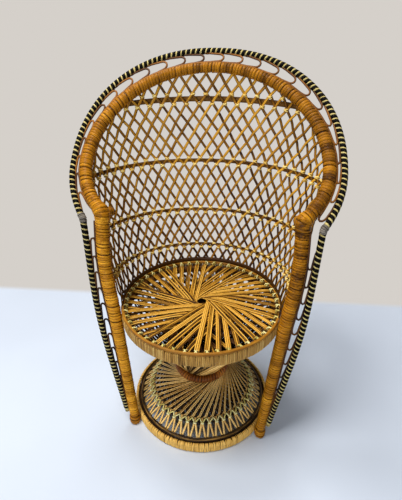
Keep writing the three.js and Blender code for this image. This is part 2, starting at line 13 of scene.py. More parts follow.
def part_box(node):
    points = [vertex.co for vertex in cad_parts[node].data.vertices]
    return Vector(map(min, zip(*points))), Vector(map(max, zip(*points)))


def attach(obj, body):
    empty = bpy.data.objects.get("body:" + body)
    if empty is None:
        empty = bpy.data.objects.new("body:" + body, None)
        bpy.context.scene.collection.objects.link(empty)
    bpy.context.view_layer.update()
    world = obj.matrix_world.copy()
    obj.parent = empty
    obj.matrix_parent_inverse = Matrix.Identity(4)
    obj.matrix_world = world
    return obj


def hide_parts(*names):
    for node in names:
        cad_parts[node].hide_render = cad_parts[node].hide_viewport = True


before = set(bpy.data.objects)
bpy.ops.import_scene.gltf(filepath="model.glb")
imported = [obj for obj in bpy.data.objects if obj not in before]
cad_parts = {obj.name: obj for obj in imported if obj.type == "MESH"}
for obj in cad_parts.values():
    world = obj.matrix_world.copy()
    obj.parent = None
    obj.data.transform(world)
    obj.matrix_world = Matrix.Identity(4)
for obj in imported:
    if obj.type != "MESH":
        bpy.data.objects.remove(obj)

bl_info = {
    "name": "Peacock Chair",
    "version": (1, 0, 0),
    "blender": (4, 5, 0),
    "location": "View3D > Sidebar > Chair",
    "description": "Dresses the chair's frame in bound cane, woven reed and twine",
    "category": "Object",
}

TAU = 2 * math.pi
UP = Vector((0, 0, 1))
FRONT = Vector((0, -1, 0))
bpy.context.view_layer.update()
SIDES = (("left", -1), ("right", 1))
SEED = 7


def node_box(name):
    """Lowest corner, highest corner and middle of a frame node."""
    low, high = (Vector(corner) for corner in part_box(name))
    return low, high, (low + high) / 2


def node_radius(name):
    """Radius of a frame node that lies round the seat's axis."""
    low, high, _ = node_box(name)
    return (high.x - low.x) / 2


_, SEAT_HIGH, SEAT_MIDDLE = node_box("seat_mat")
SEAT_RADIUS = node_radius("seat_mat")
AXIS = Vector((SEAT_MIDDLE.x, SEAT_MIDDLE.y, 0))


def rgb(red, green, blue):
    """A colour read off a screen, 0 to 255, as the linear values that shaders take."""
    def linear(value):
        share = value / 255
        return share / 12.92 if share <= 0.04045 else ((share + 0.055) / 1.055) ** 2.4
    return linear(red), linear(green), linear(blue)


def clamp(value, low=0, high=1):
    return min(max(value, low), high)


# Settings


def length(name, default, description):
    return FloatProperty(
        name=name, description=description, default=default, min=0.0, unit="LENGTH", precision=4)


def angle(name, default, description):
    return FloatProperty(
        name=name, description=description, default=math.radians(default), subtype="ANGLE")


def factor(name, default, description):
    return FloatProperty(name=name, description=description, default=default, min=0.0)


def count(name, default, description):
    return IntProperty(name=name, description=description, default=default, min=1)


def colour(name, default, description):
    return FloatVectorProperty(
        name=name, description=description, default=rgb(*default), subtype="COLOR",
        min=0.0, max=1.0)


class FrameSizes(bpy.types.PropertyGroup):
    """Hoop, legs and their binding"""

    half_width: length("Hoop half width", 0.1225, "From the middle to the hoop's pole")
    rise: length("Hoop rise", 0.117, "From the widest place to the top, in the hoop's plane")
    drop: length("Hoop drop", 0.089, "How fast the hoop draws in below its widest place")
    end_angle: angle("Hoop end", 126.5, "From the top to each arm")
    lean: angle("Hoop lean", 42, "How far the hoop leans back")
    centre_depth: length("Hoop centre depth", 0.018, "Behind the seat's axis")
    centre_height: length("Hoop centre height", 0.2995, "Above the floor")
    hoop_radius: length("Hoop radius at the top", 0.0055, "Of the bound hoop")
    hoop_side_radius: length("Hoop radius at the sides", 0.0066, "Of the bound hoop near the arms")
    leg_radius: length("Leg radius", 0.0070, "Of the bound leg from the arm to the seat")
    leg_foot_radius: length("Leg radius at the foot", 0.0055, "Of the bound leg")
    knuckle_radius: length("Knuckle radius", 0.0082, "Of the bound elbow")
    stub_radius: length("Stub radius", 0.0054, "Of the short end that points back")
    foot_radius: length("Foot radius", 0.0066, "Of the bound foot")
    foot_height: length("Foot height", 0.014, "Of the bound foot")
    leg_strip_lead: length("Leg strip lead", 0.0027, "From turn to turn of binding on the legs")
    strip_lead: length("Strip lead", 0.0033, "From turn to turn of the other binding")
    strip_thickness: length("Strip thickness", 0.0011, "Of the binding cane")


class TrimSizes(bpy.types.PropertyGroup):
    """Striped trim and the looped edging"""

    side_spacing: length("Side spacing", 0.014, "From the hoop's pole to the trim at the sides")
    top_spacing: length("Top spacing", 0.021, "From the hoop's pole to the trim at the top")
    end_spacing: length("End spacing", 0.028, "From the hoop's pole to the trim at the arms")
    seat_spacing: length("Seat spacing", 0.0185, "From the leg to the trim at the seat's height")
    end_angle: angle("Trim end", 121, "From the top to each lashing")
    radius: length("Trim radius", 0.0034, "Of the wound trim")
    stripe_lead: length("Stripe lead", 0.0055, "From black turn to black turn round the hoop")
    side_stripe_lead: length("Side stripe lead", 0.0048, "From black turn to black turn on a leg")
    foot_height: length("Trim foot height", 0.018, "Where the side trim ends")
    loop_pitch: length("Loop pitch", 0.019, "From one loop of the edging to the next")
    loop_cane: length("Loop cane", 0.0023, "Width of the edging's cane")


class BackSizes(bpy.types.PropertyGroup):
    """Diamond lattice and its bands"""

    columns: count("Columns", 30, "Crossings from one arm to the other")
    strand_width: length("Strand width", 0.0034, "Of the lattice cane")
    strand_thickness: length("Strand thickness", 0.0017, "Of the lattice cane")
    weave: length("Weave", 0.0008, "How far a strand passes in front of or behind the next")
    edge_angle: angle("Edge angle", 105.8, "From straight back to the lattice's edge at the seat")
    hoop_margin: length("Hoop margin", 0.024, "From the hoop's end to the lattice's edge")
    top_row: length("Top row", 0.0103, "Half a diamond above the highest band")
    reed_share: factor("Reed share", 1.25, "Width of a band's reed over half the band's height")
    reed_depth: length("Reed depth", 0.0027, "From the lattice's middle back to the band's reed")
    tie_reach: length("Tie reach", 0.0023, "Half the width of a twine tie")


class SeatSizes(bpy.types.PropertyGroup):
    """Pinwheel seat and its rim"""

    blades: count("Blades", 10, "Of the pinwheel, each lying over the next")
    bundles: count("Bundles", 5, "Of reed in a blade")
    bundle_strands: count("Strands in a bundle", 3, "Side by side")
    reed_width: length("Reed width", 0.00165, "Of one strand")
    reed_thickness: length("Reed thickness", 0.0011, "Of one strand")
    reed_pitch: length("Reed pitch", 0.00175, "From strand to strand at the hole")
    hole_radius: length("Hole radius", 0.0050, "Of the hole in the middle")
    rim_strips: count("Rim strips", 290, "Upright strips round the seat's edge")
    rod_radius: length("Rim rod radius", 0.0018, "Of the thin rod along the rim")


class PedestalSizes(bpy.types.PropertyGroup):
    """Hourglass pedestal"""

    columns: count("Columns", 48, "Pairs of strands in each layer")
    strand_width: length("Strand width", 0.0020, "Of one strand")
    strand_thickness: length("Strand thickness", 0.0013, "Of one strand")
    waist_radius: length("Waist radius", 0.0284, "Of the waist ring's middle line")
    waist_pole: length("Waist pole radius", 0.0050, "Of the bound waist ring")
    skirt_twist: angle("Skirt twist", 52, "How far a strand turns from the waist to the twine")
    upper_twist: angle("Upper twist", 34, "How far a strand turns from the waist to the seat")
    twine_share: factor("Twine place", 0.70, "Share of the skirt above the twine")
    tuck_share: factor("Tuck", 0.09, "Share of the skirt from where strands tuck in to the twine")
    base_strips: count("Base strips", 290, "Upright strips round the base")


class CaneColours(bpy.types.PropertyGroup):
    """Colours of the stage and of the finishes"""

    floor: colour("Floor", (216, 226, 242), "Floor under the chair")
    wall: colour("Wall", (213, 208, 202), "Backdrop behind the chair")


SHADES = ("light", "mid", "dark")
FAMILIES = {
    "binding": ("Bound hoop and legs", (242, 174, 46), (170, 109, 15), (54, 27, 3)),
    "lattice": ("Lattice strands", (218, 160, 46), (162, 109, 20), (54, 26, 2)),
    "seat": ("Seat reed", (250, 194, 84), (218, 158, 50), (70, 38, 6)),
    "twine": ("Twine ties", (252, 244, 180), (232, 218, 128), (170, 148, 66)),
    "tie": ("Twine ties of the bands", (255, 230, 142), (236, 194, 94), (130, 90, 30)),
    "rim": ("Strips of the seat's edge", (222, 184, 108), (182, 136, 64), (88, 58, 18)),
    "base": ("Strips of the base", (255, 212, 122), (240, 188, 92), (124, 82, 24)),
    "reed": ("Reed of the bands", (140, 94, 34), (104, 68, 20), (40, 20, 4)),
    "loop": ("Cane of the edging", (150, 94, 30), (84, 48, 13), (26, 12, 2)),
    "waist": ("Turns of the waist ring", (196, 122, 40), (124, 66, 14), (40, 16, 2)),
    "rod": ("Rod along the seat's edge", (196, 140, 44), (154, 100, 24), (58, 32, 6)),
    "pedestal": ("Pedestal reed", (252, 208, 128), (214, 162, 84), (40, 24, 6)),
    "cream": ("Cream stripes of the trim", (218, 203, 140), (198, 180, 111), (120, 98, 48)),
    "black": ("Black stripes of the trim", (16, 14, 13), (7, 6, 6), (2, 2, 2)),
    "lashing": ("Grey twine lashings", (160, 152, 140), (112, 104, 94), (48, 42, 36)),
    "pole": ("Bare pole in the bindings", (150, 100, 46), (104, 64, 24), (54, 30, 10)),
}
for family, (words, *tones) in FAMILIES.items():
    for shade, tone in zip(SHADES, tones):
        CaneColours.__annotations__[f"{family}_{shade}"] = colour(
            f"{words}, {shade}", tone, f"{words} where they are {shade}")


def settings(*groups):
    """The scene's settings of one group, or of several."""
    found = [getattr(bpy.context.scene, f"chair_{group}") for group in groups]
    return found if len(found) > 1 else found[0]


# Lines that pieces follow


class Line:
    """A line through points, measured along its length, with an upright at each point."""

    def __init__(self, points, uprights):
        self.points = points
        self.uprights = uprights if isinstance(uprights, list) else [uprights] * len(points)
        self.marks = [0.0]
        for here, following in zip(points, points[1:]):
            self.marks.append(self.marks[-1] + (following - here).length)
        self.length = self.marks[-1]
        last = len(points) - 1
        self.tangents = [
            (points[min(i + 1, last)] - points[max(i - 1, 0)]).normalized()
            for i in range(last + 1)]

    def at(self, distance):
        """Point, sideways and upright at a distance; straight on past the ends."""
        inside = clamp(distance, 0.0, self.length)
        i = clamp(bisect.bisect_right(self.marks, inside), 1, len(self.points) - 1)
        share = (inside - self.marks[i - 1]) / (self.marks[i] - self.marks[i - 1])
        along = self.tangents[i - 1].lerp(self.tangents[i], share).normalized()
        upright = self.uprights[i - 1].lerp(self.uprights[i], share)
        upright = (upright - along * upright.dot(along)).normalized()
        point = self.points[i - 1].lerp(self.points[i], share) + along * (distance - inside)
        return point, along.cross(upright), upright

    def share(self, share):
        return self.at(share * self.length)[0]

    def end(self, sign):
        """Its left end for -1, its right end for 1."""
        return self.points[0 if sign < 0 else -1]

    def near_end(self, sign, distance):
        return self.at(distance if sign < 0 else self.length - distance)[0]


def round_axis(turn, radius, height):
    """A point at an angle from straight back, positive towards +X."""
    return AXIS + Vector((radius * math.sin(turn), radius * math.cos(turn), height))


def outward(turn):
    return round_axis(turn, 1, 0) - AXIS


def smooth_through(knots, samples):
    """Points of a centripetal spline through knots."""
    ends = [knots[0] * 2 - knots[1], *knots, knots[-1] * 2 - knots[-2]]
    points = []
    for a, b, c, d in zip(ends, ends[1:], ends[2:], ends[3:]):
        before, between, after = ((q - p).length ** 0.5 for p, q in ((a, b), (b, c), (c, d)))
        leave = ((b - a) / before - (c - a) / (before + between) + (c - b) / between) * between
        arrive = ((c - b) / between - (d - b) / (between + after) + (d - c) / after) * between
        for k in range(samples):
            t = k / samples
            points.append(
                b + leave * t + (c * 3 - b * 3 - leave * 2 - arrive) * t ** 2
                + (b * 2 - c * 2 + leave + arrive) * t ** 3)
    return points + [knots[-1]]


ARCH_STEPS = 200
ELLIPSE = 2
HOOP_FULLNESS = 2.0
TRIM_FULLNESS = 2.2


def arch(half_width, rise, drop, end, fullness):
    """Arch of the back from left to right, drawn in below its widest place.

    A fullness of 2 makes it an ellipse above that place, and more makes it squarer."""
    sizes = settings("frame")
    points = []
    for k in range(ARCH_STEPS + 1):
        turn = end * (2 * k / ARCH_STEPS - 1)
        across, up = math.sin(turn), math.cos(turn)
        power = fullness if up > 0 else ELLIPSE
        reach = (abs(across) ** power + abs(up) ** power) ** (-1 / power)
        up *= reach * (rise if up > 0 else drop)
        points.append(AXIS + Vector((
            half_width * reach * across,
            sizes.centre_depth + up * math.sin(sizes.lean),
            sizes.centre_height + up * math.cos(sizes.lean))))
    return Line(points, Vector((0, -math.cos(sizes.lean), math.sin(sizes.lean))))


def hoop_line():
    sizes = settings("frame")
    return arch(sizes.half_width, sizes.rise, sizes.drop, sizes.end_angle, HOOP_FULLNESS)


def trim_line():
    sizes, trim = settings("frame", "trim")
    return arch(
        sizes.half_width + trim.side_spacing, sizes.rise + trim.top_spacing,
        sizes.drop + trim.end_spacing, trim.end_angle, TRIM_FULLNESS)


def foot_place(name):
    low, _, middle = node_box(f"{name}_foot")
    return Vector((middle.x, middle.y, low.z))


LEG_SEAT_ANGLE = math.radians(111.5)
LEG_SEAT_RADIUS = 0.0972
LEG_SEAT_HEIGHT = 0.142
LEG_BOW = 0.004
LEG_BOW_SHARE = 0.45
LEG_INTO_FOOT = 0.9
LEG_SAMPLES = 30
TRIM_SAMPLES = 40
TRIM_FOOT_OVERLAP = 0.8


def leg_at_seat(sign):
    return round_axis(sign * LEG_SEAT_ANGLE, LEG_SEAT_RADIUS, LEG_SEAT_HEIGHT)


def leg_line(name, sign):
    """From the elbow down to the foot."""
    top, seat = hoop_line().end(sign), leg_at_seat(sign)
    bow = top.lerp(seat, LEG_BOW_SHARE) + Vector((sign * LEG_BOW, 0, 0))
    foot = foot_place(name) + UP * (settings("frame").foot_height * LEG_INTO_FOOT)
    return Line(smooth_through([top, bow, seat, foot], LEG_SAMPLES), FRONT)


def side_trim_line(name, sign):
    """From the lashing down to the foot."""
    sizes, trim = settings("frame", "trim")
    top, seat = trim_line().end(sign), leg_at_seat(sign)
    seat.x += sign * trim.seat_spacing
    foot = foot_place(name) + UP * trim.foot_height
    foot.x += sign * (sizes.leg_foot_radius + trim.radius * TRIM_FOOT_OVERLAP)
    return Line(smooth_through([top, seat, foot], TRIM_SAMPLES), FRONT)


# Where each grows stouter or thinner, and over which share of its length

HOOP_SWELL = (0.05, 0.6)
LEG_TAPER = (0.4, 0.6)


def hoop_thickness(hoop):
    """Radius of the bound hoop along its length, stouter towards the arms."""
    sizes = settings("frame")
    top, side = sizes.hoop_radius, sizes.hoop_side_radius
    start, span = HOOP_SWELL

    def radius(distance):
        share = clamp((abs(2 * distance / hoop.length - 1) - start) / span)
        return top + (side - top) * share * share * (3 - 2 * share)

    return radius


def leg_thickness(leg):
    """Radius of a bound leg along its length, thinner from the seat to the foot."""
    sizes = settings("frame")
    top, foot = sizes.leg_radius, sizes.leg_foot_radius
    start, span = LEG_TAPER

    def radius(distance):
        return top + (foot - top) * clamp((distance / leg.length - start) / span)

    return radius


# Building blocks

WELD = 1e-4


def spin(shape, steps, step, turn, merge):
    """Sweeps a bmesh outline along Z and round it."""
    bmesh.ops.spin(
        shape, geom=shape.verts[:] + shape.edges[:], cent=(0, 0, 0), axis=UP, dvec=step,
        angle=turn, steps=steps, use_merge=merge, use_duplicate=False)


@functools.cache
def bar(sides, steps, links=1):
    """Mesh of a closed bar of unit section along Z, one unit long for each link."""
    link = bmesh.new()
    bmesh.ops.create_circle(link, cap_ends=False, segments=sides, radius=1.0)
    spin(link, steps, (0, 0, 1 / steps), 0.0, False)
    mesh = bpy.data.meshes.new("bar_link")
    link.to_mesh(mesh)
    link.free()
    whole = bmesh.new()
    for k in range(links):
        start = len(whole.verts)
        whole.from_mesh(mesh)
        whole.verts.ensure_lookup_table()
        bmesh.ops.translate(whole, verts=whole.verts[start:], vec=(0, 0, k))
    bmesh.ops.remove_doubles(whole, verts=whole.verts[:], dist=WELD)
    bmesh.ops.holes_fill(whole, edges=whole.edges[:], sides=sides)
    bmesh.ops.recalc_face_normals(whole, faces=whole.faces[:])
    whole.to_mesh(mesh)
    whole.free()
    return mesh


@functools.cache
def ring_mesh(steps, sides, tube):
    """Mesh of a unit ring about Z with a round section."""
    ring = bmesh.new()
    made = bmesh.ops.create_circle(ring, cap_ends=False, segments=sides, radius=tube)
    bmesh.ops.rotate(
        ring, verts=made["verts"], cent=(0, 0, 0),
        matrix=UP.rotation_difference(Vector((0, 1, 0))).to_matrix())
    bmesh.ops.translate(ring, verts=made["verts"], vec=(1, 0, 0))
    spin(ring, steps, (0, 0, 0), TAU, True)
    bmesh.ops.remove_doubles(ring, verts=ring.verts[:], dist=WELD)
    bmesh.ops.recalc_face_normals(ring, faces=ring.faces[:])
    mesh = bpy.data.meshes.new("tie_ring")
    ring.to_mesh(mesh)
    ring.free()
    return mesh


# The noise is 0 at whole numbers, so its places start between them

NOISE_START = (0.37, 0.71)
NOISE_STRIDE = 7.13


def wobble(place, seed):
    """Smooth noise along a winding, from about -1 to 1; each seed has its own."""
    first, second = NOISE_START
    return noise.noise(Vector((place + first, seed * NOISE_STRIDE + second, SEED)))


# A lower power makes a wound strip flatter, with narrower rounded edges

STRIP_FLATNESS = 0.5

# How fast a winding's place, lift and tint change from turn to turn, and how much

DRIFT_PACE = 0.55
LIFT_PACE = 0.8
LIFT_SHARE = 0.45
TINT_PACE = 0.31
WOUND_TINT = 0.5
WOUND_TINT_SPREAD = 0.4
LIFT_SEED = 5
TINT_SEED = 9
# Low tint of the rod under a winding: painted shade in the gaps between the turns
CORE_PAINTED_SHADE = 0.1


def radius_along(radius):
    """A radius as a function of the distance along a line."""
    return radius if callable(radius) else lambda distance: radius


class Work:
    """Gathers the strands of one piece in one mesh and keeps the grain of each."""

    def __init__(self):
        self.mesh = bmesh.new()
        self.mesh.verts.layers.float_vector.new("grain")

    def add(self, shape, lay):
        """Adds a shape; lay turns a point of it into its place and its grain."""
        start = len(self.mesh.verts)
        self.mesh.from_mesh(shape)
        self.mesh.verts.ensure_lookup_table()
        grain = self.mesh.verts.layers.float_vector["grain"]
        for vert in self.mesh.verts[start:]:
            vert.co, vert[grain] = lay(vert.co.copy())

    def strand(self, line, width, thickness, tint, steps, sides=6, shift=0.0, foot_tint=0.0):
        """A strand laid along a line; foot_tint shifts the tint of its start."""
        def lay(place):
            distance = place.z * line.length
            point, sideways, upright = line.at(distance)
            across = place.x * width / 2 + shift
            shade = tint + foot_tint * (1 - place.z) ** 2
            spot = point + sideways * across + upright * (place.y * thickness / 2)
            return spot, (distance, place.x, shade)

        self.add(bar(sides, steps), lay)

    def wind(self, line, start, end, lead, width, thickness, radius, wander=0.0, seed=0.0,
             per_turn=14, fade=(0, 0), ease=0.0):
        """A strip wound round a line at a radius.

        fade shifts its tint at start and end; ease makes its lead longer at the start and
        shorter at the end."""
        turns = max(1, round((end - start) / lead))
        step = (end - start) / turns
        radius_at = radius_along(radius)

        def lay(place):
            turn = place.z
            share = turn / turns
            drift = wander * wobble(turn * DRIFT_PACE, seed)
            across = math.copysign(abs(place.x) ** STRIP_FLATNESS, place.x)
            stretch = 1 + ease * (1 - 2 * share)
            distance = (start + (turn + ease * turn * (1 - share) + drift) * step
                        + across * stretch * width / 2)
            point, sideways, upright = line.at(distance)
            lift = wander * thickness * LIFT_SHARE * wobble(turn * LIFT_PACE, seed + LIFT_SEED)
            reach = radius_at(distance) + place.y * thickness / 2 + lift
            swing = TAU * turn
            out = sideways * math.cos(swing) + upright * math.sin(swing)
            tint = (WOUND_TINT + WOUND_TINT_SPREAD * wobble(turn * TINT_PACE, seed + TINT_SEED)
                    + fade[0] + (fade[1] - fade[0]) * share)
            return point + out * reach, (turn * TAU * reach, place.x, tint)

        self.add(bar(6, per_turn, turns), lay)

    def core(self, line, start, end, radius, steps, sides=12):
        """A plain rod under a winding, tinted dark: painted shade in the gaps between the turns."""
        radius_at = radius_along(radius)

        def lay(place):
            distance = start + place.z * (end - start)
            point, sideways, upright = line.at(distance)
            reach = radius_at(distance)
            spot = point + (sideways * place.x + upright * place.y) * reach
            return spot, (distance, place.x, CORE_PAINTED_SHADE)

        self.add(bar(sides, steps), lay)

    def ring(self, middle, first, second, tube, tint, steps=8, sides=4):
        """A closed tie round a middle, its ring spanned by two half widths."""
        normal = first.cross(second).normalized() * (first.length + second.length) / 2

        def lay(place):
            spot = middle + first * place.x + second * place.y + normal * place.z
            return spot, (math.atan2(place.y, place.x) * first.length, place.z / tube, tint)

        self.add(ring_mesh(steps, sides, tube), lay)

    def piece(self, name, material, slot, *nodes):
        """Turns the work into a piece that stands for frame nodes and rides on the chair."""
        bmesh.ops.recalc_face_normals(self.mesh, faces=self.mesh.faces[:])
        mesh = bpy.data.meshes.new(name)
        self.mesh.to_mesh(mesh)
        self.mesh.free()
        mesh.shade_smooth()
        mesh.materials.append(material)
        made = bpy.data.objects.new(name, mesh)
        bpy.context.scene.collection.objects.link(made)
        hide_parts(*nodes)
        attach(made, "root")


# Finishes


class Nodes:
    """Adds nodes to a shader tree; each input takes a value or another node's output."""

    def __init__(self, tree):
        self.tree = tree

    def give(self, socket, value):
        if isinstance(value, bpy.types.NodeSocket):
            self.tree.links.new(value, socket)
        else:
            socket.default_value = value

    def add(self, kind, inputs=(), **traits):
        node = self.tree.nodes.new(f"ShaderNode{kind}")
        for name, trait in traits.items():
            setattr(node, name, trait)
        for name, value in dict(inputs).items():
            self.give(node.inputs[name], value)
        return node

    def math(self, operation, *values):
        return self.add("Math", enumerate(values), operation=operation).outputs[0]

    def span(self, value, low, high, to_low=0, to_high=1):
        """A value's place from low to high, smoothed and carried over to another range."""
        return self.add("MapRange", {
            "Value": value, "From Min": low, "From Max": high, "To Min": to_low, "To Max": to_high},
            interpolation_type="SMOOTHSTEP").outputs["Result"]

    def mix(self, share, first, second):
        """A colour between two; a colour mix has its colours at 6 and 7 and its result at 2."""
        return self.add("Mix", {0: share, 6: first, 7: second}, data_type="RGBA").outputs[2]

    def mix_shaders(self, share, first, second):
        return self.add("MixShader", {0: share, 1: first, 2: second}).outputs[0]

    def noise(self, vector, scale, detail):
        inputs = {"Vector": vector, "Scale": scale, "Detail": detail}
        return self.add("TexNoise", inputs).outputs["Fac"]

    def stretch(self, vector, scale):
        return self.add("VectorMath", {0: vector, 1: scale}, operation="MULTIPLY").outputs[0]

    def seen_rays(self):
        """1 for the rays that show the background itself, 0 for those that light the chair."""
        rays = self.add("LightPath").outputs
        shown = self.math("MAXIMUM", rays["Is Camera Ray"], rays["Is Transmission Ray"])
        return self.math("MAXIMUM", shown, rays["Is Glossy Ray"])


def new_group(name, inputs, outputs):
    """A node group and the sockets inside it that bring its inputs and take its outputs."""
    group = bpy.data.node_groups.new(name, "ShaderNodeTree")
    for way, sockets in (("INPUT", inputs), ("OUTPUT", outputs)):
        for label, kind in sockets.items():
            group.interface.new_socket(name=label, in_out=way, socket_type=f"NodeSocket{kind}")
    given = group.nodes.new("NodeGroupInput").outputs
    return group, given, group.nodes.new("NodeGroupOutput").inputs


FIBRE_SCALE = (90, 4.5, 41)
BLOTCH_SCALE = (34, 0.4, 83)
DARK_TONES = (0.2, 0.5)
LIGHT_TONES = (0.46, 0.78)
# Where across a strand the painted shade of its edges begins
EDGE_SHADE_START = 0.55
FIBRE_ROUGHNESS = (0.2, 0.8, 0.85, 1.05)
BARE_POLE_SCALE = (2.0, 30.0, 2.0)


def cane_fibre():
    """Node group: the fibres, blotches, strand-to-strand tint and painted shade along the edges of
    split cane.
    """
    if "cane_fibre" in bpy.data.node_groups:
        return bpy.data.node_groups["cane_fibre"]
    group, given, result = new_group(
        "cane_fibre",
        {"Grain": "Vector", "Light": "Color", "Mid": "Color", "Dark": "Color",
         "Tint Spread": "Float", "Edge": "Float", "Gloss": "Float"},
        {"Colour": "Color", "Roughness": "Float", "Height": "Float"})
    nodes = Nodes(group)
    parts = nodes.add("SeparateXYZ", {0: given["Grain"]}).outputs
    fibres = nodes.noise(nodes.stretch(given["Grain"], FIBRE_SCALE), scale=1.0, detail=3.0)
    blotches = nodes.noise(nodes.stretch(given["Grain"], BLOTCH_SCALE), scale=1.0, detail=2.0)
    tint = nodes.math("SUBTRACT", parts["Z"], 0.5)
    spread = nodes.math("MULTIPLY", tint, given["Tint Spread"])
    tone = nodes.math(
        "ADD", nodes.math("MULTIPLY", fibres, 0.5), nodes.math("MULTIPLY", blotches, 0.5))
    tone = nodes.math("ADD", tone, spread)
    warm = nodes.mix(nodes.span(tone, *DARK_TONES), given["Dark"], given["Mid"])
    warm = nodes.mix(nodes.span(tone, *LIGHT_TONES), warm, given["Light"])
    # Painted shade: the colour darkens towards each strand's edges, where it rounds off and meets
    # the next; Edge sets how much
    edge = nodes.span(nodes.math("ABSOLUTE", parts["Y"]), EDGE_SHADE_START, 1.0)
    edge = nodes.math("MULTIPLY", edge, given["Edge"])
    rough = nodes.math("SUBTRACT", nodes.span(fibres, *FIBRE_ROUGHNESS), given["Gloss"])
    nodes.give(result["Colour"], nodes.mix(edge, warm, given["Dark"]))
    nodes.give(result["Roughness"], rough)
    nodes.give(result["Height"], nodes.math("SUBTRACT", fibres, edge))
    return group


def ageing():
    """Node group: broad stains and rubbed places, as a mask."""
    if "ageing" in bpy.data.node_groups:
        return bpy.data.node_groups["ageing"]
    group, given, result = new_group(
        "ageing", {"Place": "Vector", "Amount": "Float"}, {"Mask": "Float"})
    nodes = Nodes(group)
    broad = nodes.span(nodes.noise(given["Place"], scale=26.0, detail=4.0), 0.45, 0.75)
    fine = nodes.span(nodes.noise(given["Place"], scale=210.0, detail=2.0), 0.3, 0.7, 0.5, 1)
    stain = nodes.math("MULTIPLY", broad, fine)
    nodes.give(result["Mask"], nodes.math("MULTIPLY", stain, given["Amount"]))
    return group


# Family of colours of each finish, and where it departs from plain cane; edge is the strength of
# the painted shade along each strand's edges

FINISHES = {
    "bare_rattan_pole": dict(family="pole", gloss=0.35, on_grain=False),
    "golden_binding_cane": dict(family="binding", edge=0.8, gloss=0.56, specular=0.1),
    "cream_trim_cane": dict(family="cream", tint_spread=0.4, edge=0.5, gloss=0.45, stain=0.3),
    "black_trim_cane": dict(family="black", edge=0.3, gloss=0.35, stain=0.2, specular=0.05),
    "grey_lashing_twine": dict(family="lashing", edge=0.8, gloss=0.15),
    "edging_cane": dict(family="loop", edge=0.75),
    "woven_lattice_cane": dict(family="lattice", tint_spread=0.6, edge=0.95),
    "dark_band_reed": dict(family="reed", edge=0.4, gloss=0.45),
    "golden_tie_twine": dict(family="tie", tint_spread=0.6, edge=0.5, gloss=0.25, stain=0.25),
    "seat_reed": dict(family="seat", gloss=0.45),
    "seat_rim_strips": dict(family="rim", tint_spread=0.4, edge=0.4, gloss=0.35),
    "golden_rim_rod": dict(family="rod", tint_spread=0.6, edge=0.3),
    "yellow_twine": dict(family="twine"),
    "pedestal_reed": dict(family="pedestal", tint_spread=0.8, edge=0.8),
    "russet_waist_cane": dict(family="waist", tint_spread=0.6, edge=0.8),
    "base_rim_strips": dict(family="base", tint_spread=0.35, gloss=0.4, stain=0.2),
}


def finish(name):
    """The material of a finish, made when it is first asked for."""
    if name in bpy.data.materials:
        return bpy.data.materials[name]
    return cane_finish(name, **FINISHES[name])


def cane_finish(name, family, tint_spread=0.5, edge=0.6, gloss=0.5, stain=0.35, specular=0.15,
                on_grain=True):
    """A finish of split cane, reed or twine; off the grain it follows the object's own axes."""
    colours = settings("colours")
    light, mid, dark = ((*getattr(colours, f"{family}_{shade}"), 1.0) for shade in SHADES)
    material = bpy.data.materials.new(name)
    material.use_nodes = True
    nodes = Nodes(material.node_tree)
    place = nodes.add("TexCoord").outputs["Object"]
    if on_grain:
        grain = nodes.add("Attribute", attribute_name="grain").outputs["Vector"]
    else:
        grain, edge = nodes.stretch(place, BARE_POLE_SCALE), 0.0
    fibre = nodes.add("Group", {
        "Grain": grain, "Light": light, "Mid": mid, "Dark": dark,
        "Tint Spread": tint_spread, "Edge": edge, "Gloss": gloss}, node_tree=cane_fibre()).outputs
    age = nodes.add("Group", {"Place": place, "Amount": stain}, node_tree=ageing()).outputs
    relief = nodes.add("Bump", {
        "Strength": 0.5, "Distance": 0.0004, "Height": fibre["Height"]}).outputs
    shader = material.node_tree.nodes["Principled BSDF"].inputs
    nodes.give(shader["Base Color"], nodes.mix(age["Mask"], fibre["Colour"], dark))
    nodes.give(shader["Roughness"], fibre["Roughness"])
    nodes.give(shader["Specular IOR Level"], specular)
    nodes.give(shader["Normal"], relief["Normal"])
    return material


# Operators


class CHAIR_OT_poles(bpy.types.Operator):
    """Gives the bare poles inside the bindings their finish"""

    bl_idname = "chair.poles"
    bl_label = "Bare Poles"

    def execute(self, context):
        for name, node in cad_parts.items():
            if name.endswith("_pole"):
                node.data.materials.clear()
                node.data.materials.append(finish("bare_rattan_pole"))
        return {"FINISHED"}


# Seeds of the windings; a left one is 1 lower and a right one 1 higher

SEEDS = dict(
    hoop=1.0, leg=2.0, elbow=11.0, stub=17.0, foot=23.0, trim=31.0, lashing=37.0, waist=53.0)

# Shift of the cane's tint at the start and the end of each binding: lighter on the chair's left and
# darker towards its right

HOOP_FADE = (-0.05, -0.28)
LEG_FADES = {"left": (0.1, 0.2), "right": (-0.32, 0.12)}
ELBOW_FADES = {"left": (-0.05, 0.1), "right": (-0.22, -0.2)}

# Shares of the knuckle's radius and the strip's thickness, and one step of the rod inside

BINDING_MARGIN = 0.8
BINDING_ROD_DEPTH = 0.75
BINDING_ROD_STEP = 0.006


def bound_piece(work, name, node):
    work.piece(name, finish("golden_binding_cane"), "cane_binding", node)


def bind(name, line, start, end, thickness, lead, seed, fade):
    """A rod and the strip wound over it, edge to edge, its tint shifted at start and end."""
    thin = settings("frame").strip_thickness
    work = Work()
    work.core(
        line, start, end, lambda distance: thickness(distance) - thin * BINDING_ROD_DEPTH,
        round(line.length / BINDING_ROD_STEP))
    work.wind(
        line, start, end, lead, width=lead * 1.1, thickness=thin,
        radius=lambda distance: thickness(distance) - thin / 2, wander=0.6, seed=seed, fade=fade)
    bound_piece(work, f"{name}_turns", f"{name}_binding")


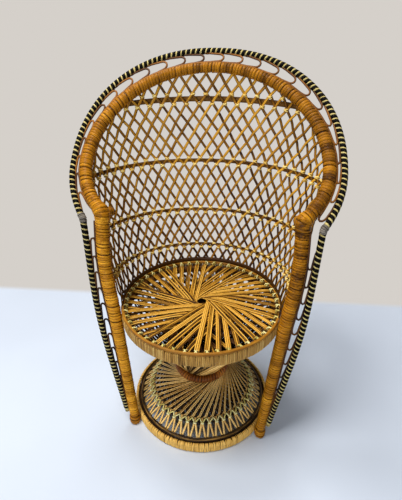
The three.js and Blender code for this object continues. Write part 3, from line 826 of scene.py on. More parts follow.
class CHAIR_OT_binding(bpy.types.Operator):
    """Winds cane round the hoop and the legs"""

    bl_idname = "chair.binding"
    bl_label = "Hoop and Leg Binding"

    def execute(self, context):
        sizes = settings("frame")
        margin = sizes.knuckle_radius * BINDING_MARGIN
        hoop = hoop_line()
        bind(
            "hoop", hoop, margin, hoop.length - margin, hoop_thickness(hoop), sizes.strip_lead,
            SEEDS["hoop"], HOOP_FADE)
        for name, sign in SIDES:
            leg = leg_line(name, sign)
            bind(
                f"{name}_leg", leg, margin, leg.length, leg_thickness(leg), sizes.leg_strip_lead,
                SEEDS["leg"] + sign, LEG_FADES[name])
        return {"FINISHED"}


STUB_LIFT = math.radians(-20)
STUB_BACK = math.radians(82)
STUB_REACH = 0.0199
STUB_ROD_START = 0.002
STUB_WIND_START = 0.004
ELBOW_SPAN = 1.15
ELBOW_STEPS = 24
ELBOW_PULL = 1.7
ELBOW_BULGE_POWER = 0.8
KNOB_ROD_DEPTH = 0.2


def straight(start, way, reach, steps, upright):
    return Line([start + way * (reach * k / steps) for k in range(steps + 1)], upright)


def elbow(work, leg, name, sign):
    """The bend from the hoop down into a leg, stoutest in its middle."""
    sizes = settings("frame")
    thin, lead = sizes.strip_thickness, sizes.strip_lead
    span = sizes.knuckle_radius * ELBOW_SPAN
    start, corner, end = hoop_line().near_end(sign, span), leg.points[0], leg.at(span)[0]
    points = []
    for k in range(ELBOW_STEPS + 1):
        t = k / ELBOW_STEPS
        into = start.lerp(corner, min(1.0, t * ELBOW_PULL))
        away = corner.lerp(end, max(0.0, t * ELBOW_PULL - (ELBOW_PULL - 1)))
        points.append(into.lerp(away, t))
    bend = Line(points, FRONT)

    def radius(distance):
        share = clamp(distance / bend.length)
        plain = sizes.hoop_side_radius + (sizes.leg_radius - sizes.hoop_side_radius) * share
        round_off = math.sin(math.pi * share) ** ELBOW_BULGE_POWER
        return plain + max((sizes.knuckle_radius - plain) * round_off, 0) - thin / 2

    work.core(
        bend, 0.0, bend.length, lambda distance: radius(distance) - thin * KNOB_ROD_DEPTH, steps=16)
    work.wind(
        bend, 0.0, bend.length, lead=lead * 0.86, width=lead, thickness=thin, radius=radius,
        wander=0.5, seed=SEEDS["elbow"] + sign, per_turn=18, fade=ELBOW_FADES[name])


def stub(work, corner, sign):
    """The short bound end that points back from the elbow."""
    sizes = settings("frame")
    thin, lead = sizes.strip_thickness, sizes.strip_lead
    body = sizes.stub_radius - thin / 2
    way = Vector((
        -sign * math.cos(STUB_LIFT) * math.cos(STUB_BACK),
        math.cos(STUB_LIFT) * math.sin(STUB_BACK), math.sin(STUB_LIFT)))
    line = straight(corner, way, STUB_REACH, steps=8, upright=UP)
    work.core(line, STUB_ROD_START, STUB_REACH, body, steps=6)
    work.wind(
        line, STUB_WIND_START, STUB_REACH - thin, lead, width=lead * 0.92,
        thickness=thin, radius=body, wander=0.3, seed=SEEDS["stub"] + sign, per_turn=16)


class CHAIR_OT_knuckles(bpy.types.Operator):
    """Winds the elbows where the hoop bends down into the legs, each with its short stub"""

    bl_idname = "chair.knuckles"
    bl_label = "Elbows"

    def execute(self, context):
        for name, sign in SIDES:
            work = Work()
            leg = leg_line(name, sign)
            elbow(work, leg, name, sign)
            stub(work, leg.points[0], sign)
            bound_piece(work, f"{name}_elbow_turns", f"{name}_knuckle")
        return {"FINISHED"}


FOOT_BULGE = 0.14
FOOT_ROD_START = 0.0004
FOOT_WIND_START = 0.56


class CHAIR_OT_feet(bpy.types.Operator):
    """Winds the knob at the foot of each leg"""

    bl_idname = "chair.feet"
    bl_label = "Feet"

    def execute(self, context):
        sizes = settings("frame")
        thin, lead, height = sizes.strip_thickness, sizes.strip_lead, sizes.foot_height

        def radius(distance):
            bulge = FOOT_BULGE * math.sin(math.pi * clamp(distance / height))
            return sizes.foot_radius * (1 - FOOT_BULGE + bulge) - thin / 2

        for name, sign in SIDES:
            line = straight(foot_place(name), UP, height, steps=10, upright=FRONT)
            work = Work()
            work.core(
                line, FOOT_ROD_START, height,
                lambda distance: radius(distance) - thin * KNOB_ROD_DEPTH, steps=8)
            work.wind(
                line, lead * FOOT_WIND_START, height - thin, lead, lead, thin, radius,
                wander=0.3, seed=SEEDS["foot"] + sign, per_turn=16)
            bound_piece(work, f"{name}_foot_turns", f"{name}_foot")
        return {"FINISHED"}


# A stripe's thickness as a share of the trim's radius, and the depth and one step of the rod inside

STRIPE_THICKNESS = 0.2
STRIPE_ROD_DEPTH = 0.55
STRIPE_ROD_STEP = 0.004
SIDE_EASE = 0.15

# Start and width of a stripe as shares of the lead, and its depth as a share of its thickness

CREAM_STRIPE = (0.75, 0.62, 0.3)
BLACK_STRIPE = (0.25, 0.76, 0.0)

LASHING_SPAN = 0.0045
LASHING_BEND = 0.6
LASHING_MARGIN = 0.0006
LASHING_DEPTH = 0.0002
LASHING_ROD_DEPTH = 0.0004


def stripes(name, line, lead, ease):
    """A cream winding on a rod and a black one between its turns."""
    radius = settings("trim").radius
    thin = radius * STRIPE_THICKNESS
    body = radius - thin / 2

    def stripe(work, start, width, depth):
        work.wind(
            line, lead * start, line.length - lead * (1 - start), lead, lead * width, thin,
            body - thin * depth, wander=0.06, seed=SEEDS["trim"], per_turn=12, ease=ease)

    work = Work()
    work.core(
        line, 0.0, line.length, body - thin * STRIPE_ROD_DEPTH,
        round(line.length / STRIPE_ROD_STEP))
    stripe(work, *CREAM_STRIPE)
    work.piece(f"{name}_cream", finish("cream_trim_cane"), "trim_cream", f"{name}_rod")
    work = Work()
    stripe(work, *BLACK_STRIPE)
    work.piece(f"{name}_black", finish("black_trim_cane"), "trim_black", f"{name}_wrapping")


class CHAIR_OT_trim(bpy.types.Operator):
    """Winds black and cream stripes round the trim and ties its two kinks"""

    bl_idname = "chair.trim"
    bl_label = "Striped Trim"

    def execute(self, context):
        trim = settings("trim")
        top = trim_line()
        stripes("top_trim", top, trim.stripe_lead, 0.0)
        for name, sign in SIDES:
            side = side_trim_line(name, sign)
            stripes(f"{name}_side_trim", side, trim.side_stripe_lead, SIDE_EASE)
            into, kink = top.near_end(sign, LASHING_SPAN), side.points[0]
            away = side.at(LASHING_SPAN)[0]
            bends = into.lerp(kink, LASHING_BEND), kink.lerp(away, 1 - LASHING_BEND)
            tie = Line([into, bends[0], kink, bends[1], away], FRONT)
            work = Work()
            work.core(tie, 0.0, tie.length, trim.radius - LASHING_ROD_DEPTH, steps=8)
            work.wind(
                tie, LASHING_MARGIN, tie.length - LASHING_MARGIN, lead=0.0013, width=0.0014,
                thickness=0.0012, radius=trim.radius - LASHING_DEPTH, wander=0.6,
                seed=SEEDS["lashing"] + sign)
            work.piece(
                f"{name}_lashing_turns", finish("grey_lashing_twine"), "lashing_twine",
                f"{name}_trim_lashing")
        return {"FINISHED"}


# One loop of the edging: distance along the frame, and place from the frame (-1) to the trim (1)

LOOP_KNOTS = (
    (-0.004, 1.2), (0.003, 0.98), (0.009, 0.8), (0.013, 0.68), (0.0152, 0.4), (0.016, 0.0),
    (0.0152, -0.4), (0.013, -0.68), (0.007, -0.82), (0.000, -0.95), (-0.007, -1.15))
LOOP_MIDDLE = 0.0055
LOOP_RISE = 0.0012
HOOP_LOOPS = (0.012, 0.985)
LEG_LOOPS = (0.1, 0.93)
LEG_LOOP_SHADE = -0.45
STAY_PARTS = 40
STAY_OUT = 0.0004
STAY_RISE = 0.0010


def looped_edge(name, inner, outer, thickness, span, hand, shade, rng):
    work = Work()
    hairpins(work, inner, outer, thickness, span, hand, shade, rng)
    stay(work, inner, outer, thickness, shade)
    work.piece(f"{name}_loops", finish("edging_cane"), "scallop_cane", f"{name}_scallops")


def hairpins(work, inner, outer, thickness, span, hand, shade, rng):
    """Loops along the inner line; hand is 1 where their round ends point along it."""
    trim = settings("trim")
    facing = inner.uprights[0]
    start, end = span
    loops = round((end - start) * inner.length / trim.loop_pitch)
    for loop in range(loops):
        middle = inner.length * (start + (end - start) * (loop + 0.5) / loops)
        stretch = rng.uniform(0.94, 1.08)
        lean = rng.uniform(-0.08, 0.08)
        points = []
        for k, (ahead, across) in enumerate(LOOP_KNOTS):
            share = (middle + hand * stretch * (ahead - LOOP_MIDDLE)) / inner.length
            foot, head = inner.share(share), outer.share(share)
            out = (head - foot).normalized()
            bore = thickness(share * inner.length)
            room = (head - foot).length - bore - trim.radius
            rise = LOOP_RISE * math.sin(math.pi * k / (len(LOOP_KNOTS) - 1))
            reach = bore + room * (0.5 + 0.5 * (across + lean))
            points.append(foot + out * reach + facing * rise)
        work.strand(
            Line(smooth_through(points, samples=3), facing), trim.loop_cane,
            thickness=trim.loop_cane * 0.8, tint=rng.uniform(0.35, 1.0) + shade, steps=24)


def stay(work, inner, outer, thickness, shade):
    """A flat strand laid along the frame's outer edge over the ends of the loops."""
    cane = settings("trim").loop_cane
    facing = inner.uprights[0]
    points = []
    for k in range(1, STAY_PARTS):
        spot = inner.share(k / STAY_PARTS)
        out = (outer.share(k / STAY_PARTS) - spot).normalized()
        reach = thickness(inner.length * k / STAY_PARTS) + STAY_OUT
        points.append(spot + out * reach + facing * STAY_RISE)
    work.strand(
        Line(points, facing), width=cane * 1.3, thickness=cane * 0.7, tint=0.8 + shade, steps=60)


class CHAIR_OT_edging(bpy.types.Operator):
    """Lays the looped cane edging between the frame and the trim"""

    bl_idname = "chair.edging"
    bl_label = "Looped Edging"

    def execute(self, context):
        rng = random.Random(SEED + 6)
        hoop = hoop_line()
        looped_edge("hoop", hoop, trim_line(), hoop_thickness(hoop), HOOP_LOOPS, 1, 0.0, rng)
        for name, sign in SIDES:
            leg = leg_line(name, sign)
            looped_edge(
                f"{name}_leg", leg, side_trim_line(name, sign), leg_thickness(leg), LEG_LOOPS,
                sign, LEG_LOOP_SHADE, rng)
        return {"FINISHED"}


# Band heights in the middle, how far they drop at the sides, and half rows of diamonds below each

BAND_HEIGHTS = (0.1763, 0.2247, 0.2862, 0.3549)
BAND_SIDE_DROPS = (-0.0059, -0.0039, 0.0020, 0.0109)
BAND_HALF_HEIGHTS = (0.0030, 0.0034, 0.0038, 0.0052)
HALF_ROWS_BELOW = (2, 4, 5, 6)
LATTICE_FOOT_RADIUS = 0.0889
LATTICE_FOOT_HEIGHT = 0.1515


class Back:
    """The flared back: upright lines from the seat rim to the hoop, and rows of crossings.

    A place u across it runs from -1 at the left edge to 1 at the right."""

    def __init__(self):
        self.sizes = settings("back")
        self.hoop = hoop_line()
        self.reach = 1 - 2 * self.sizes.hoop_margin / self.hoop.length

    def ends(self, u):
        foot = round_axis(u * self.sizes.edge_angle, LATTICE_FOOT_RADIUS, LATTICE_FOOT_HEIGHT)
        return foot, self.hoop.share(0.5 + 0.5 * u * self.reach)

    def band_height(self, band, u):
        drop = BAND_SIDE_DROPS[band] * (1 - math.cos(u * self.sizes.edge_angle))
        return BAND_HEIGHTS[band] - drop

    def row_height(self, row, u):
        """Height of a row of crossings; rows count half diamonds up from the seat."""
        low, below = LATTICE_FOOT_HEIGHT, 0.0
        for band, rows in enumerate(HALF_ROWS_BELOW):
            middle, half = self.band_height(band, u), BAND_HALF_HEIGHTS[band]
            if row <= below + rows:
                return low + (middle - half - low) * (row - below) / rows
            below += rows
            if row <= below + 1:
                return middle + half * (2 * (row - below) - 1)
            below += 1
            low = middle + half
        return low + self.sizes.top_row * (row - below)

    def place(self, row, u):
        """Share of the way up to the hoop, the point there and the outward direction."""
        foot, head = self.ends(u)
        share = (self.row_height(row, u) - foot.z) / (head.z - foot.z)
        point = foot.lerp(head, share)
        out = Vector((point.x - AXIS.x, point.y - AXIS.y, 0)).normalized()
        slope = (head - foot).normalized()
        return share, point, (out - slope * out.dot(slope)).normalized()

    def lower_row(self, band):
        return sum(HALF_ROWS_BELOW[:band + 1]) + band


LATTICE_PANELS = 5
LATTICE_ROWS = 24
ROW_PARTS = 4
LEG_PARTS = 80
LEG_PARTS_USED = 60
SWAY_PACE = 0.7
WEAVE_BACK = 0.7
LATTICE_TUCK = 0.003
LATTICE_STEP = 0.0042
FOOT_TINT = -0.42


def nearest(places, point):
    return min(places, key=lambda place: (place - point).length)


def lattice_strand(work, back, column, lean, legs, rng):
    """One slanting strand; past the lattice's edge it ends on the leg there."""
    sizes = back.sizes
    points, outs = [], []
    tint, sway = rng.uniform(0.3, 0.8) + 0.1 * lean, rng.uniform(-0.1, 0.1)
    leave = 0
    for k in range(LATTICE_ROWS * ROW_PARTS + 1):
        row = k / ROW_PARTS
        swing = sway * math.sin(row * SWAY_PACE)
        u = 2 * (column + lean * row / 2 + swing) / sizes.columns - 1
        if abs(u) > 1:
            if points:
                leave = 1 if u > 0 else -1
                break
            continue
        share, point, out = back.place(row, u)
        outs.append(out)
        if share >= 1:
            points.append(back.ends(u)[1])
            break
        over = sizes.weave * lean * (math.cos(math.pi * row) - WEAVE_BACK)
        points.append(point + out * over)
    if leave and len(points) > 1:
        points.append(nearest(legs[leave], points[-1]))
        outs.append(outs[-1])
    if len(points) < 3:
        return
    start = 2 * column / sizes.columns - 1
    if abs(start) > 1:
        points.insert(0, nearest(legs[1 if start > 0 else -1], points[0]))
    else:
        points.insert(0, points[0] - UP * LATTICE_TUCK)
    outs.insert(0, outs[0])
    line = Line(points, outs)
    work.strand(
        line, sizes.strand_width * rng.uniform(0.9, 1.06), sizes.strand_thickness, tint,
        max(4, round(line.length / LATTICE_STEP)), foot_tint=FOOT_TINT)


class CHAIR_OT_lattice(bpy.types.Operator):
    """Weaves the diamond lattice of the back"""

    bl_idname = "chair.lattice"
    bl_label = "Back Lattice"

    def execute(self, context):
        back, work, rng = Back(), Work(), random.Random(SEED)
        columns = back.sizes.columns
        legs = {}
        for name, sign in SIDES:
            leg = leg_line(name, sign)
            legs[sign] = [leg.share(k / LEG_PARTS) for k in range(LEG_PARTS_USED)]
        for lean in (-1, 1):
            for column in range(-columns, 2 * columns + 1):
                lattice_strand(work, back, column, lean, legs, rng)
        work.piece(
            "lattice_weave", finish("woven_lattice_cane"), "lattice_cane",
            *[f"lattice_panel_{k}" for k in range(1, LATTICE_PANELS + 1)])
        return {"FINISHED"}


REED_PARTS = 120

# Share of the way up or across where the reeds and the ties stop

REED_TOP = 0.99
TIES_TOP = 0.97
TIES_SIDE = 0.985


def band_reed(work, back, band):
    points, outs = [], []
    for k in range(REED_PARTS + 1):
        share, point, out = back.place(back.lower_row(band) + 0.5, -1 + 2 * k / REED_PARTS)
        if share < REED_TOP:
            points.append(point + out * back.sizes.reed_depth)
            outs.append(out)
    work.strand(
        Line(points, outs), BAND_HALF_HEIGHTS[band] * back.sizes.reed_share,
        thickness=0.0009, tint=0.5, steps=110)


def band_ties(work, back, band, rng):
    """A tie at each crossing along a band's lower and upper edge."""
    sizes, row = back.sizes, back.lower_row(band)
    for level in (row, row + 1):
        half = (level % 2) / 2
        for column in range(sizes.columns + 1):
            u = 2 * (column + half) / sizes.columns - 1
            if abs(u) > TIES_SIDE:
                continue
            share, point, out = back.place(level, u)
            if share < TIES_TOP:
                band_tie(work, point, out, sizes.tie_reach, rng)


def band_tie(work, point, out, reach, rng):
    """Two loops of twine crossed over a crossing of the lattice."""
    across = UP.cross(out).normalized()
    upward = out.cross(across)
    for slant in (-1, 1):
        tilt = slant * rng.uniform(0.35, 0.6)
        way = across * math.cos(tilt) + upward * math.sin(tilt)
        work.ring(
            point, way * reach * rng.uniform(0.9, 1.1), out * reach,
            tube=0.36, tint=rng.uniform(0.3, 0.9))


class CHAIR_OT_bands(bpy.types.Operator):
    """Lays the dark reed bands across the back and ties them with twine"""

    bl_idname = "chair.bands"
    bl_label = "Reed Bands"

    def execute(self, context):
        back, rng = Back(), random.Random(SEED + 1)
        for band in range(len(BAND_HEIGHTS)):
            name = f"band_{len(BAND_HEIGHTS) - band}"
            work = Work()
            band_reed(work, back, band)
            work.piece(f"{name}_strip", finish("dark_band_reed"), "dark_reed", f"{name}_reed")
            work = Work()
            band_ties(work, back, band, rng)
            work.piece(f"{name}_ties", finish("golden_tie_twine"), "pale_twine", f"{name}_lacing")
        return {"FINISHED"}


SEAT_MARGIN = 0.0018
SEAT_PROUD = 0.0003
STRAND_FAN = math.radians(1.25)
BLADE_SLOPE = 0.2
LEVEL_SLOPE = 0.05
BLADE_LIFT = 0.00125
BLADE_DEPTH = 0.006
BLADE_OVERRUN = 0.012
BLADE_STEPS = 12
BUNDLE_DROP = 0.0002
RIM_TUCK = 0.0012
# Under blades: fewer, wider strands, tinted dark as painted shade beneath the blades above
UNDER_STRANDS = 2
UNDER_WIDTH = 1.35
UNDER_PAINTED_SHADE = -0.7
UNDER_DEPTH = 0.0072


def rim_turn(sizes, heading):
    """Where the left edge of a blade with this heading starts at the seat's rim."""
    return heading + math.pi - math.asin(sizes.hole_radius / (SEAT_RADIUS - SEAT_MARGIN))


def seat_blade(work, sizes, heading, hand, sunk, strands, rng):
    """Bundles from the rim past the hole, diving under the next blade where it covers them."""
    inward = Vector((math.sin(heading), math.cos(heading), 0))
    right = inward.cross(UP) * hand
    spread = TAU / sizes.blades
    hole, rim = sizes.hole_radius, SEAT_RADIUS - SEAT_MARGIN
    edge = heading + hand * rim_turn(sizes, 0.0)
    top = SEAT_HIGH.z + SEAT_PROUD - sunk
    pitch = sizes.reed_pitch * sizes.bundle_strands / strands
    width, shade = sizes.reed_width, 0.0
    # A sunk blade is tinted dark: painted shade under the blades above
    if sunk:
        width, shade = width * UNDER_WIDTH, UNDER_PAINTED_SHADE
    for bundle in range(sizes.bundles):
        swing = rng.uniform(-0.012, 0.012)
        for place in range(strands):
            fan = spread * bundle / sizes.bundles + STRAND_FAN * (place - 1) + swing
            turn = edge - hand * fan
            outer = Vector((rim * math.sin(turn), rim * math.cos(turn), 0))
            aside = (bundle * strands + place + 0.5) * pitch
            path = right * (hole + aside + rng.uniform(-0.0002, 0.0002)) - outer
            whole = path.length + BLADE_OVERRUN
            points, uprights = [], []
            for k in range(BLADE_STEPS + 1):
                spot = outer + path.normalized() * (whole * k / BLADE_STEPS)
                back = hole * math.sin(spread) - spot.dot(inward)
                cover = hole * (math.cos(spread) - 1) + math.tan(spread) * back
                over = spot.dot(right) - hole - cover
                drop = clamp(BLADE_LIFT + BLADE_SLOPE * over, 0, BLADE_DEPTH)
                tuck = RIM_TUCK if k == 0 else 0.0
                height = top - drop - tuck - BUNDLE_DROP * bundle
                points.append(AXIS + spot + UP * height)
                slope = BLADE_SLOPE if drop else LEVEL_SLOPE
                uprights.append((UP + right * slope).normalized())
            work.strand(
                Line(points, uprights), width * rng.uniform(0.9, 1.05), sizes.reed_thickness,
                rng.random() + shade, BLADE_STEPS)


class CHAIR_OT_seat(bpy.types.Operator):
    """Lays the pinwheel of reed round the hole in the middle of the seat"""

    bl_idname = "chair.seat"
    bl_label = "Pinwheel Seat"

    def execute(self, context):
        sizes = settings("seat")
        work, rng = Work(), random.Random(SEED + 2)
        for blade in range(sizes.blades):
            heading = TAU * blade / sizes.blades
            seat_blade(work, sizes, heading, 1, 0.0, sizes.bundle_strands, rng)
        for blade in range(sizes.blades):
            heading = TAU * (blade + 0.5) / sizes.blades
            seat_blade(work, sizes, heading, -1, UNDER_DEPTH, UNDER_STRANDS, rng)
        work.piece("seat_pinwheel", finish("seat_reed"), "seat_cane", "seat_mat")
        return {"FINISHED"}


# Profile of a strip over a rim: how far in it lies, and how far below the top or above the bottom

RIM_TOP = ((0.0030, 0.0002), (0.0008, 0.0001), (0.0, 0.0012))
RIM_BOTTOM = ((0.0, 0.0016), (0.0008, 0.0005), (0.0030, 0.0005))
RIM_BULGE = 0.0002
RIM_INSET = 0.0004
RIM_FOLD_TILT = 1.6
RIM_FACE_TILT = 0.2


def rim_strips(name, slot, node, strips, rng):
    """Upright strips bent over the top and bottom of a rim."""
    low, high, middle = node_box(node)
    radius = node_radius(node)
    work = Work()
    turn = 0.0
    while turn < TAU - 0.5 * TAU / strips:
        wide = min(TAU / strips * rng.uniform(0.8, 1.2), TAU - turn)
        here = turn + wide / 2
        turn += wide
        out = Vector((math.sin(here), math.cos(here), 0))
        lean = out.cross(UP) * rng.uniform(-0.0003, 0.0003)
        edge = radius - RIM_INSET + rng.uniform(-0.0001, 0.0002)
        profile = [(edge - inset, high.z - fall) for inset, fall in RIM_TOP]
        profile.append((edge + RIM_BULGE, middle.z))
        profile += [(edge - inset, low.z + rise) for inset, rise in RIM_BOTTOM]
        points, uprights = [], []
        for k, (reach, height) in enumerate(profile, -len(RIM_TOP)):
            points.append(AXIS + out * reach + UP * height + lean * k)
            tip = clamp((height - middle.z) / (high.z - middle.z), -1, 1)
            tilt = RIM_FOLD_TILT if abs(k) > 1 else RIM_FACE_TILT
            uprights.append((out + UP * tip * tilt).normalized())
        tint = clamp(rng.gauss(0.55, 0.22))
        work.strand(
            Line(points, uprights), width=wide * radius * 1.1, thickness=0.0007, tint=tint, steps=9)
    work.piece(name, finish(name), slot, node)


# Waves of the thin rod: reach, and how many go round the rim

ROD_WAVES = ((0.0003, 9), (0.0002, 23))
ROD_WAVE_RISE = 0.6
ROD_STEPS = 160
ROD_DROP = 0.0006

FOOT_REED_SHARE = 0.98
FOOT_REED_PARTS = 80
FOOT_REED_INSET = 0.0004
FOOT_REED_RISE = 0.0029
RIM_TIE_SLANTS = (-0.7, 0.6)
RIM_TIE_INSET = 0.0024
RIM_TIE_DROP = 0.0012
RIM_TIE_REACH = 0.0032
RIM_TIE_RISE = 0.0022


def rim_rod(work, radius, height):
    thick = 2 * settings("seat").rod_radius
    points = []
    for k in range(ROD_STEPS + 1):
        turn = TAU * k / ROD_STEPS
        wave = sum(reach * math.sin(turn * times) for reach, times in ROD_WAVES)
        points.append(round_axis(turn, radius + wave, height - ROD_DROP + wave * ROD_WAVE_RISE))
    work.strand(Line(points, UP), thick, thick, tint=0.6, steps=ROD_STEPS, sides=8)


def foot_reed(work, radius):
    """Flat reed along the foot of the lattice; its dark tint is painted shade between the lattice
    and the seat's ties.
    """
    reach = settings("back").edge_angle * FOOT_REED_SHARE
    turns = [reach * (2 * k / FOOT_REED_PARTS - 1) for k in range(FOOT_REED_PARTS + 1)]
    height = LATTICE_FOOT_HEIGHT + FOOT_REED_RISE
    points = [round_axis(turn, radius - FOOT_REED_INSET, height) for turn in turns]
    # The low tint paints the shade at the lattice's foot
    work.strand(
        Line(points, [outward(turn) for turn in turns]), width=0.0074, thickness=0.0011,
        tint=-0.35, steps=FOOT_REED_PARTS)


def rim_tie(work, turn, radius, height, rng):
    """Two crossed loops of twine that hold a bundle to the rim rod."""
    out = outward(turn)
    spot = round_axis(turn, radius - RIM_TIE_INSET, height - RIM_TIE_DROP)
    for slant in RIM_TIE_SLANTS:
        side = out.cross(UP) * (slant + rng.uniform(-0.2, 0.2))
        work.ring(
            spot, (out + side).normalized() * RIM_TIE_REACH, UP * RIM_TIE_RISE, tube=0.27,
            tint=rng.random())


class CHAIR_OT_seat_rim(bpy.types.Operator):
    """Covers the seat's edge in upright strips and ties the pinwheel to a thin rod along it"""

    bl_idname = "chair.seat_rim"
    bl_label = "Seat Rim"

    def execute(self, context):
        sizes = settings("seat")
        rng = random.Random(SEED + 3)
        rim_strips("seat_rim_strips", "seat_rim_cane", "seat_rim_band", sizes.rim_strips, rng)
        height = node_box("seat_rim_rod")[2].z
        radius = node_radius("seat_rim_rod") - sizes.rod_radius
        work = Work()
        rim_rod(work, radius, height)
        foot_reed(work, radius)
        work.piece("seat_rim_rod_cane", finish("golden_rim_rod"), "rim_rod_cane", "seat_rim_rod")
        work = Work()
        for blade in range(sizes.blades):
            first = rim_turn(sizes, TAU * blade / sizes.blades)
            for bundle in range(sizes.bundles):
                step = TAU * (bundle + rng.uniform(-0.1, 0.1)) / sizes.blades / sizes.bundles
                rim_tie(work, first - step, radius, height, rng)
        work.piece("seat_rim_ties", finish("yellow_twine"), "pale_twine", "seat_rim_lacing")
        return {"FINISHED"}


# Layers of strands round a cone: way they twist, lift off it, tuck of their feet, share of the
# strand's width and range of tints

# The under layers are real strands inside the cone; their low tints and wider strands paint the
# shade inside the pedestal
SKIRT_UNDER = dict(way=-1, lift=-0.0014, tuck=0.0, share=1.35, tints=(-0.45, -0.05))
SKIRT_OVER = dict(way=1, lift=0.0012, tuck=0.0032, share=0.72, tints=(0.5, 1.1))
UPPER_UNDER = dict(way=1, lift=-0.0010, tuck=0.0, share=1.35, tints=(-0.45, -0.05))
UPPER_OVER = dict(way=-1, lift=0.0010, tuck=0.0, share=0.8, tints=(0.4, 1.0))
CONE_SECTORS = 6
CONE_PARTS = 6
# Cone strands are darker towards the waist: painted shade under the seat
WAIST_PAINTED_SHADE = -0.32
TUCK_TURN = 0.56
PAIR_SPREAD = 0.53

# Ends of the cones: radius from that of the waist, base or seat, and height from waist or floor

SKIRT_HEAD = (0.0006, -0.0030)
SKIRT_FOOT = (-0.0070, 0.0100)
UPPER_FOOT = (-0.0040, 0.0015)
UPPER_HEAD = (-0.004, 0.1385)

ZIGZAG_PARTS = 4
ZIGZAG_START = 0.06
ZIGZAG_RISE = 0.0004
ZIGZAG_FACING = 0.6

# Rows of reed over the zigzag's ends: distance up from its foot, tint and waves round the base;
# their low tints paint the shade inside the base ring

HOLD_ROWS = ((-0.0002, 0.06, 7), (0.0015, 0.24, 11), (0.0032, 0.12, 15))
HOLD_LIFT = 0.0012
HOLD_STEPS = 144
HOLD_WAVE = 0.0003
HOLD_WAVE_LIFT = 0.4

WAIST_STEPS = 90
WAIST_DEPTH = 0.0005
WAIST_ROD_DEPTH = 0.0008

# One stitch of the twine: step round the skirt in columns, distance down it and lift off it

STITCH = (
    (-0.62, -0.0052, 0.0016), (-0.3, -0.0026, 0.0026), (0.0, 0.0004, 0.0030),
    (0.2, -0.0022, 0.0026), (0.38, -0.0050, 0.0018))
STITCH_SHADE = 0.35
KNOT_REACH = 0.0017


def towards_cone(point, start, run):
    """A point of a straight strand moved half way out to the cone through start."""
    reach = start[0] + run.x * (point.z - start[1]) / run.y
    flat = Vector((point.x - AXIS.x, point.y - AXIS.y, 0))
    return point + flat.normalized() * max(0, (reach - flat.length) / 2)


def pedestal_weave(work, name):
    work.piece(
        f"{name}_weave", finish("pedestal_reed"), "pedestal_cane",
        *[f"{name}_strands_{k}" for k in range(1, CONE_SECTORS + 1)])


def cone_strands(work, rng, start, end, twist, way, lift, tuck, share, tints):
    """Straight pairs of strands round a cone from start to end, each (radius, height)."""
    sizes = settings("pedestal")
    twist, width = way * twist, sizes.strand_width * share
    run = end - start
    square = Vector((abs(run.y), -run.x if run.y > 0 else run.x)).normalized()
    place = square * lift
    for column in range(sizes.columns):
        tint = rng.uniform(*tints)
        first = TAU * (column + rng.uniform(-0.06, 0.06)) / sizes.columns
        head = round_axis(first - twist / 2, start[0] + place.x, start[1] + place.y)
        foot = round_axis(first + twist / 2, end[0] + place.x, end[1] + place.y)
        inside = round_axis(
            first + twist * TUCK_TURN, end[0] - square.x * tuck, end[1] - square.y * tuck)
        inside += (foot - head).normalized() * tuck
        points = [
            towards_cone(head.lerp(foot, k / CONE_PARTS), start, run)
            for k in range(CONE_PARTS + 1)]
        upright = (outward(first) * square.x + UP * square.y).normalized()
        line = Line([*points, inside], upright)
        for side in (-PAIR_SPREAD, PAIR_SPREAD):
            # Each strand is darker at its waist end: painted shade under the seat
            work.strand(
                line, width * rng.uniform(0.9, 1.05), sizes.strand_thickness,
                tint + rng.uniform(-0.15, 0.15), steps=8, sides=4, shift=side * width,
                foot_tint=WAIST_PAINTED_SHADE)


def zigzag(work, sizes, head, foot, rng):
    """Open strands from the twine down to the base ring, two from each stitch."""
    for column in range(sizes.columns):
        for lean in (-1, 1):
            first = TAU * (column + lean * ZIGZAG_START) / sizes.columns
            last = TAU * (column + lean * rng.uniform(0.40, 0.48)) / sizes.columns
            start = round_axis(first, head[0], head[1] + ZIGZAG_RISE)
            end = round_axis(last, *foot)
            upright = (outward(first) * ZIGZAG_FACING + UP).normalized()
            points = [start.lerp(end, k / ZIGZAG_PARTS) for k in range(-1, ZIGZAG_PARTS + 1)]
            work.strand(
                Line(points, upright), sizes.strand_width * 1.4, sizes.strand_thickness,
                tint=rng.uniform(0.6, 1.1), steps=ZIGZAG_PARTS)


def hold_rows(work, head, foot):
    """Rows of reed that hold the zigzag's ends down on the base ring, tinted dark: painted shade
    inside the ring.
    """
    down = (foot - head).normalized()
    square = Vector((-down.y, down.x))
    for row, (back, tint, waves) in enumerate(HOLD_ROWS):
        points, outs = [], []
        for k in range(HOLD_STEPS + 1):
            turn = TAU * k / HOLD_STEPS
            wave = HOLD_WAVE * math.sin(turn * waves + row)
            place = foot - down * (back + wave) + square * (HOLD_LIFT + wave * HOLD_WAVE_LIFT)
            points.append(round_axis(turn, place.x, place.y))
            outs.append(outward(turn) * square.x + UP * square.y)
        work.strand(Line(points, outs), width=0.0021, thickness=0.0011, tint=tint, steps=HOLD_STEPS)


def waist_winding(sizes, radius, height):
    points = [round_axis(TAU * k / WAIST_STEPS, radius, height) for k in range(WAIST_STEPS + 1)]
    ring = Line(points, UP)
    work = Work()
    work.core(ring, 0.0, ring.length, sizes.waist_pole - WAIST_ROD_DEPTH, WAIST_STEPS, sides=10)
    work.wind(
        ring, 0.0, ring.length, lead=0.0031, width=0.0031, thickness=0.0011,
        radius=sizes.waist_pole - WAIST_DEPTH, wander=0.3, seed=SEEDS["waist"], per_turn=12)
    work.piece("waist_turns", finish("russet_waist_cane"), "waist_cane", "waist_ring")


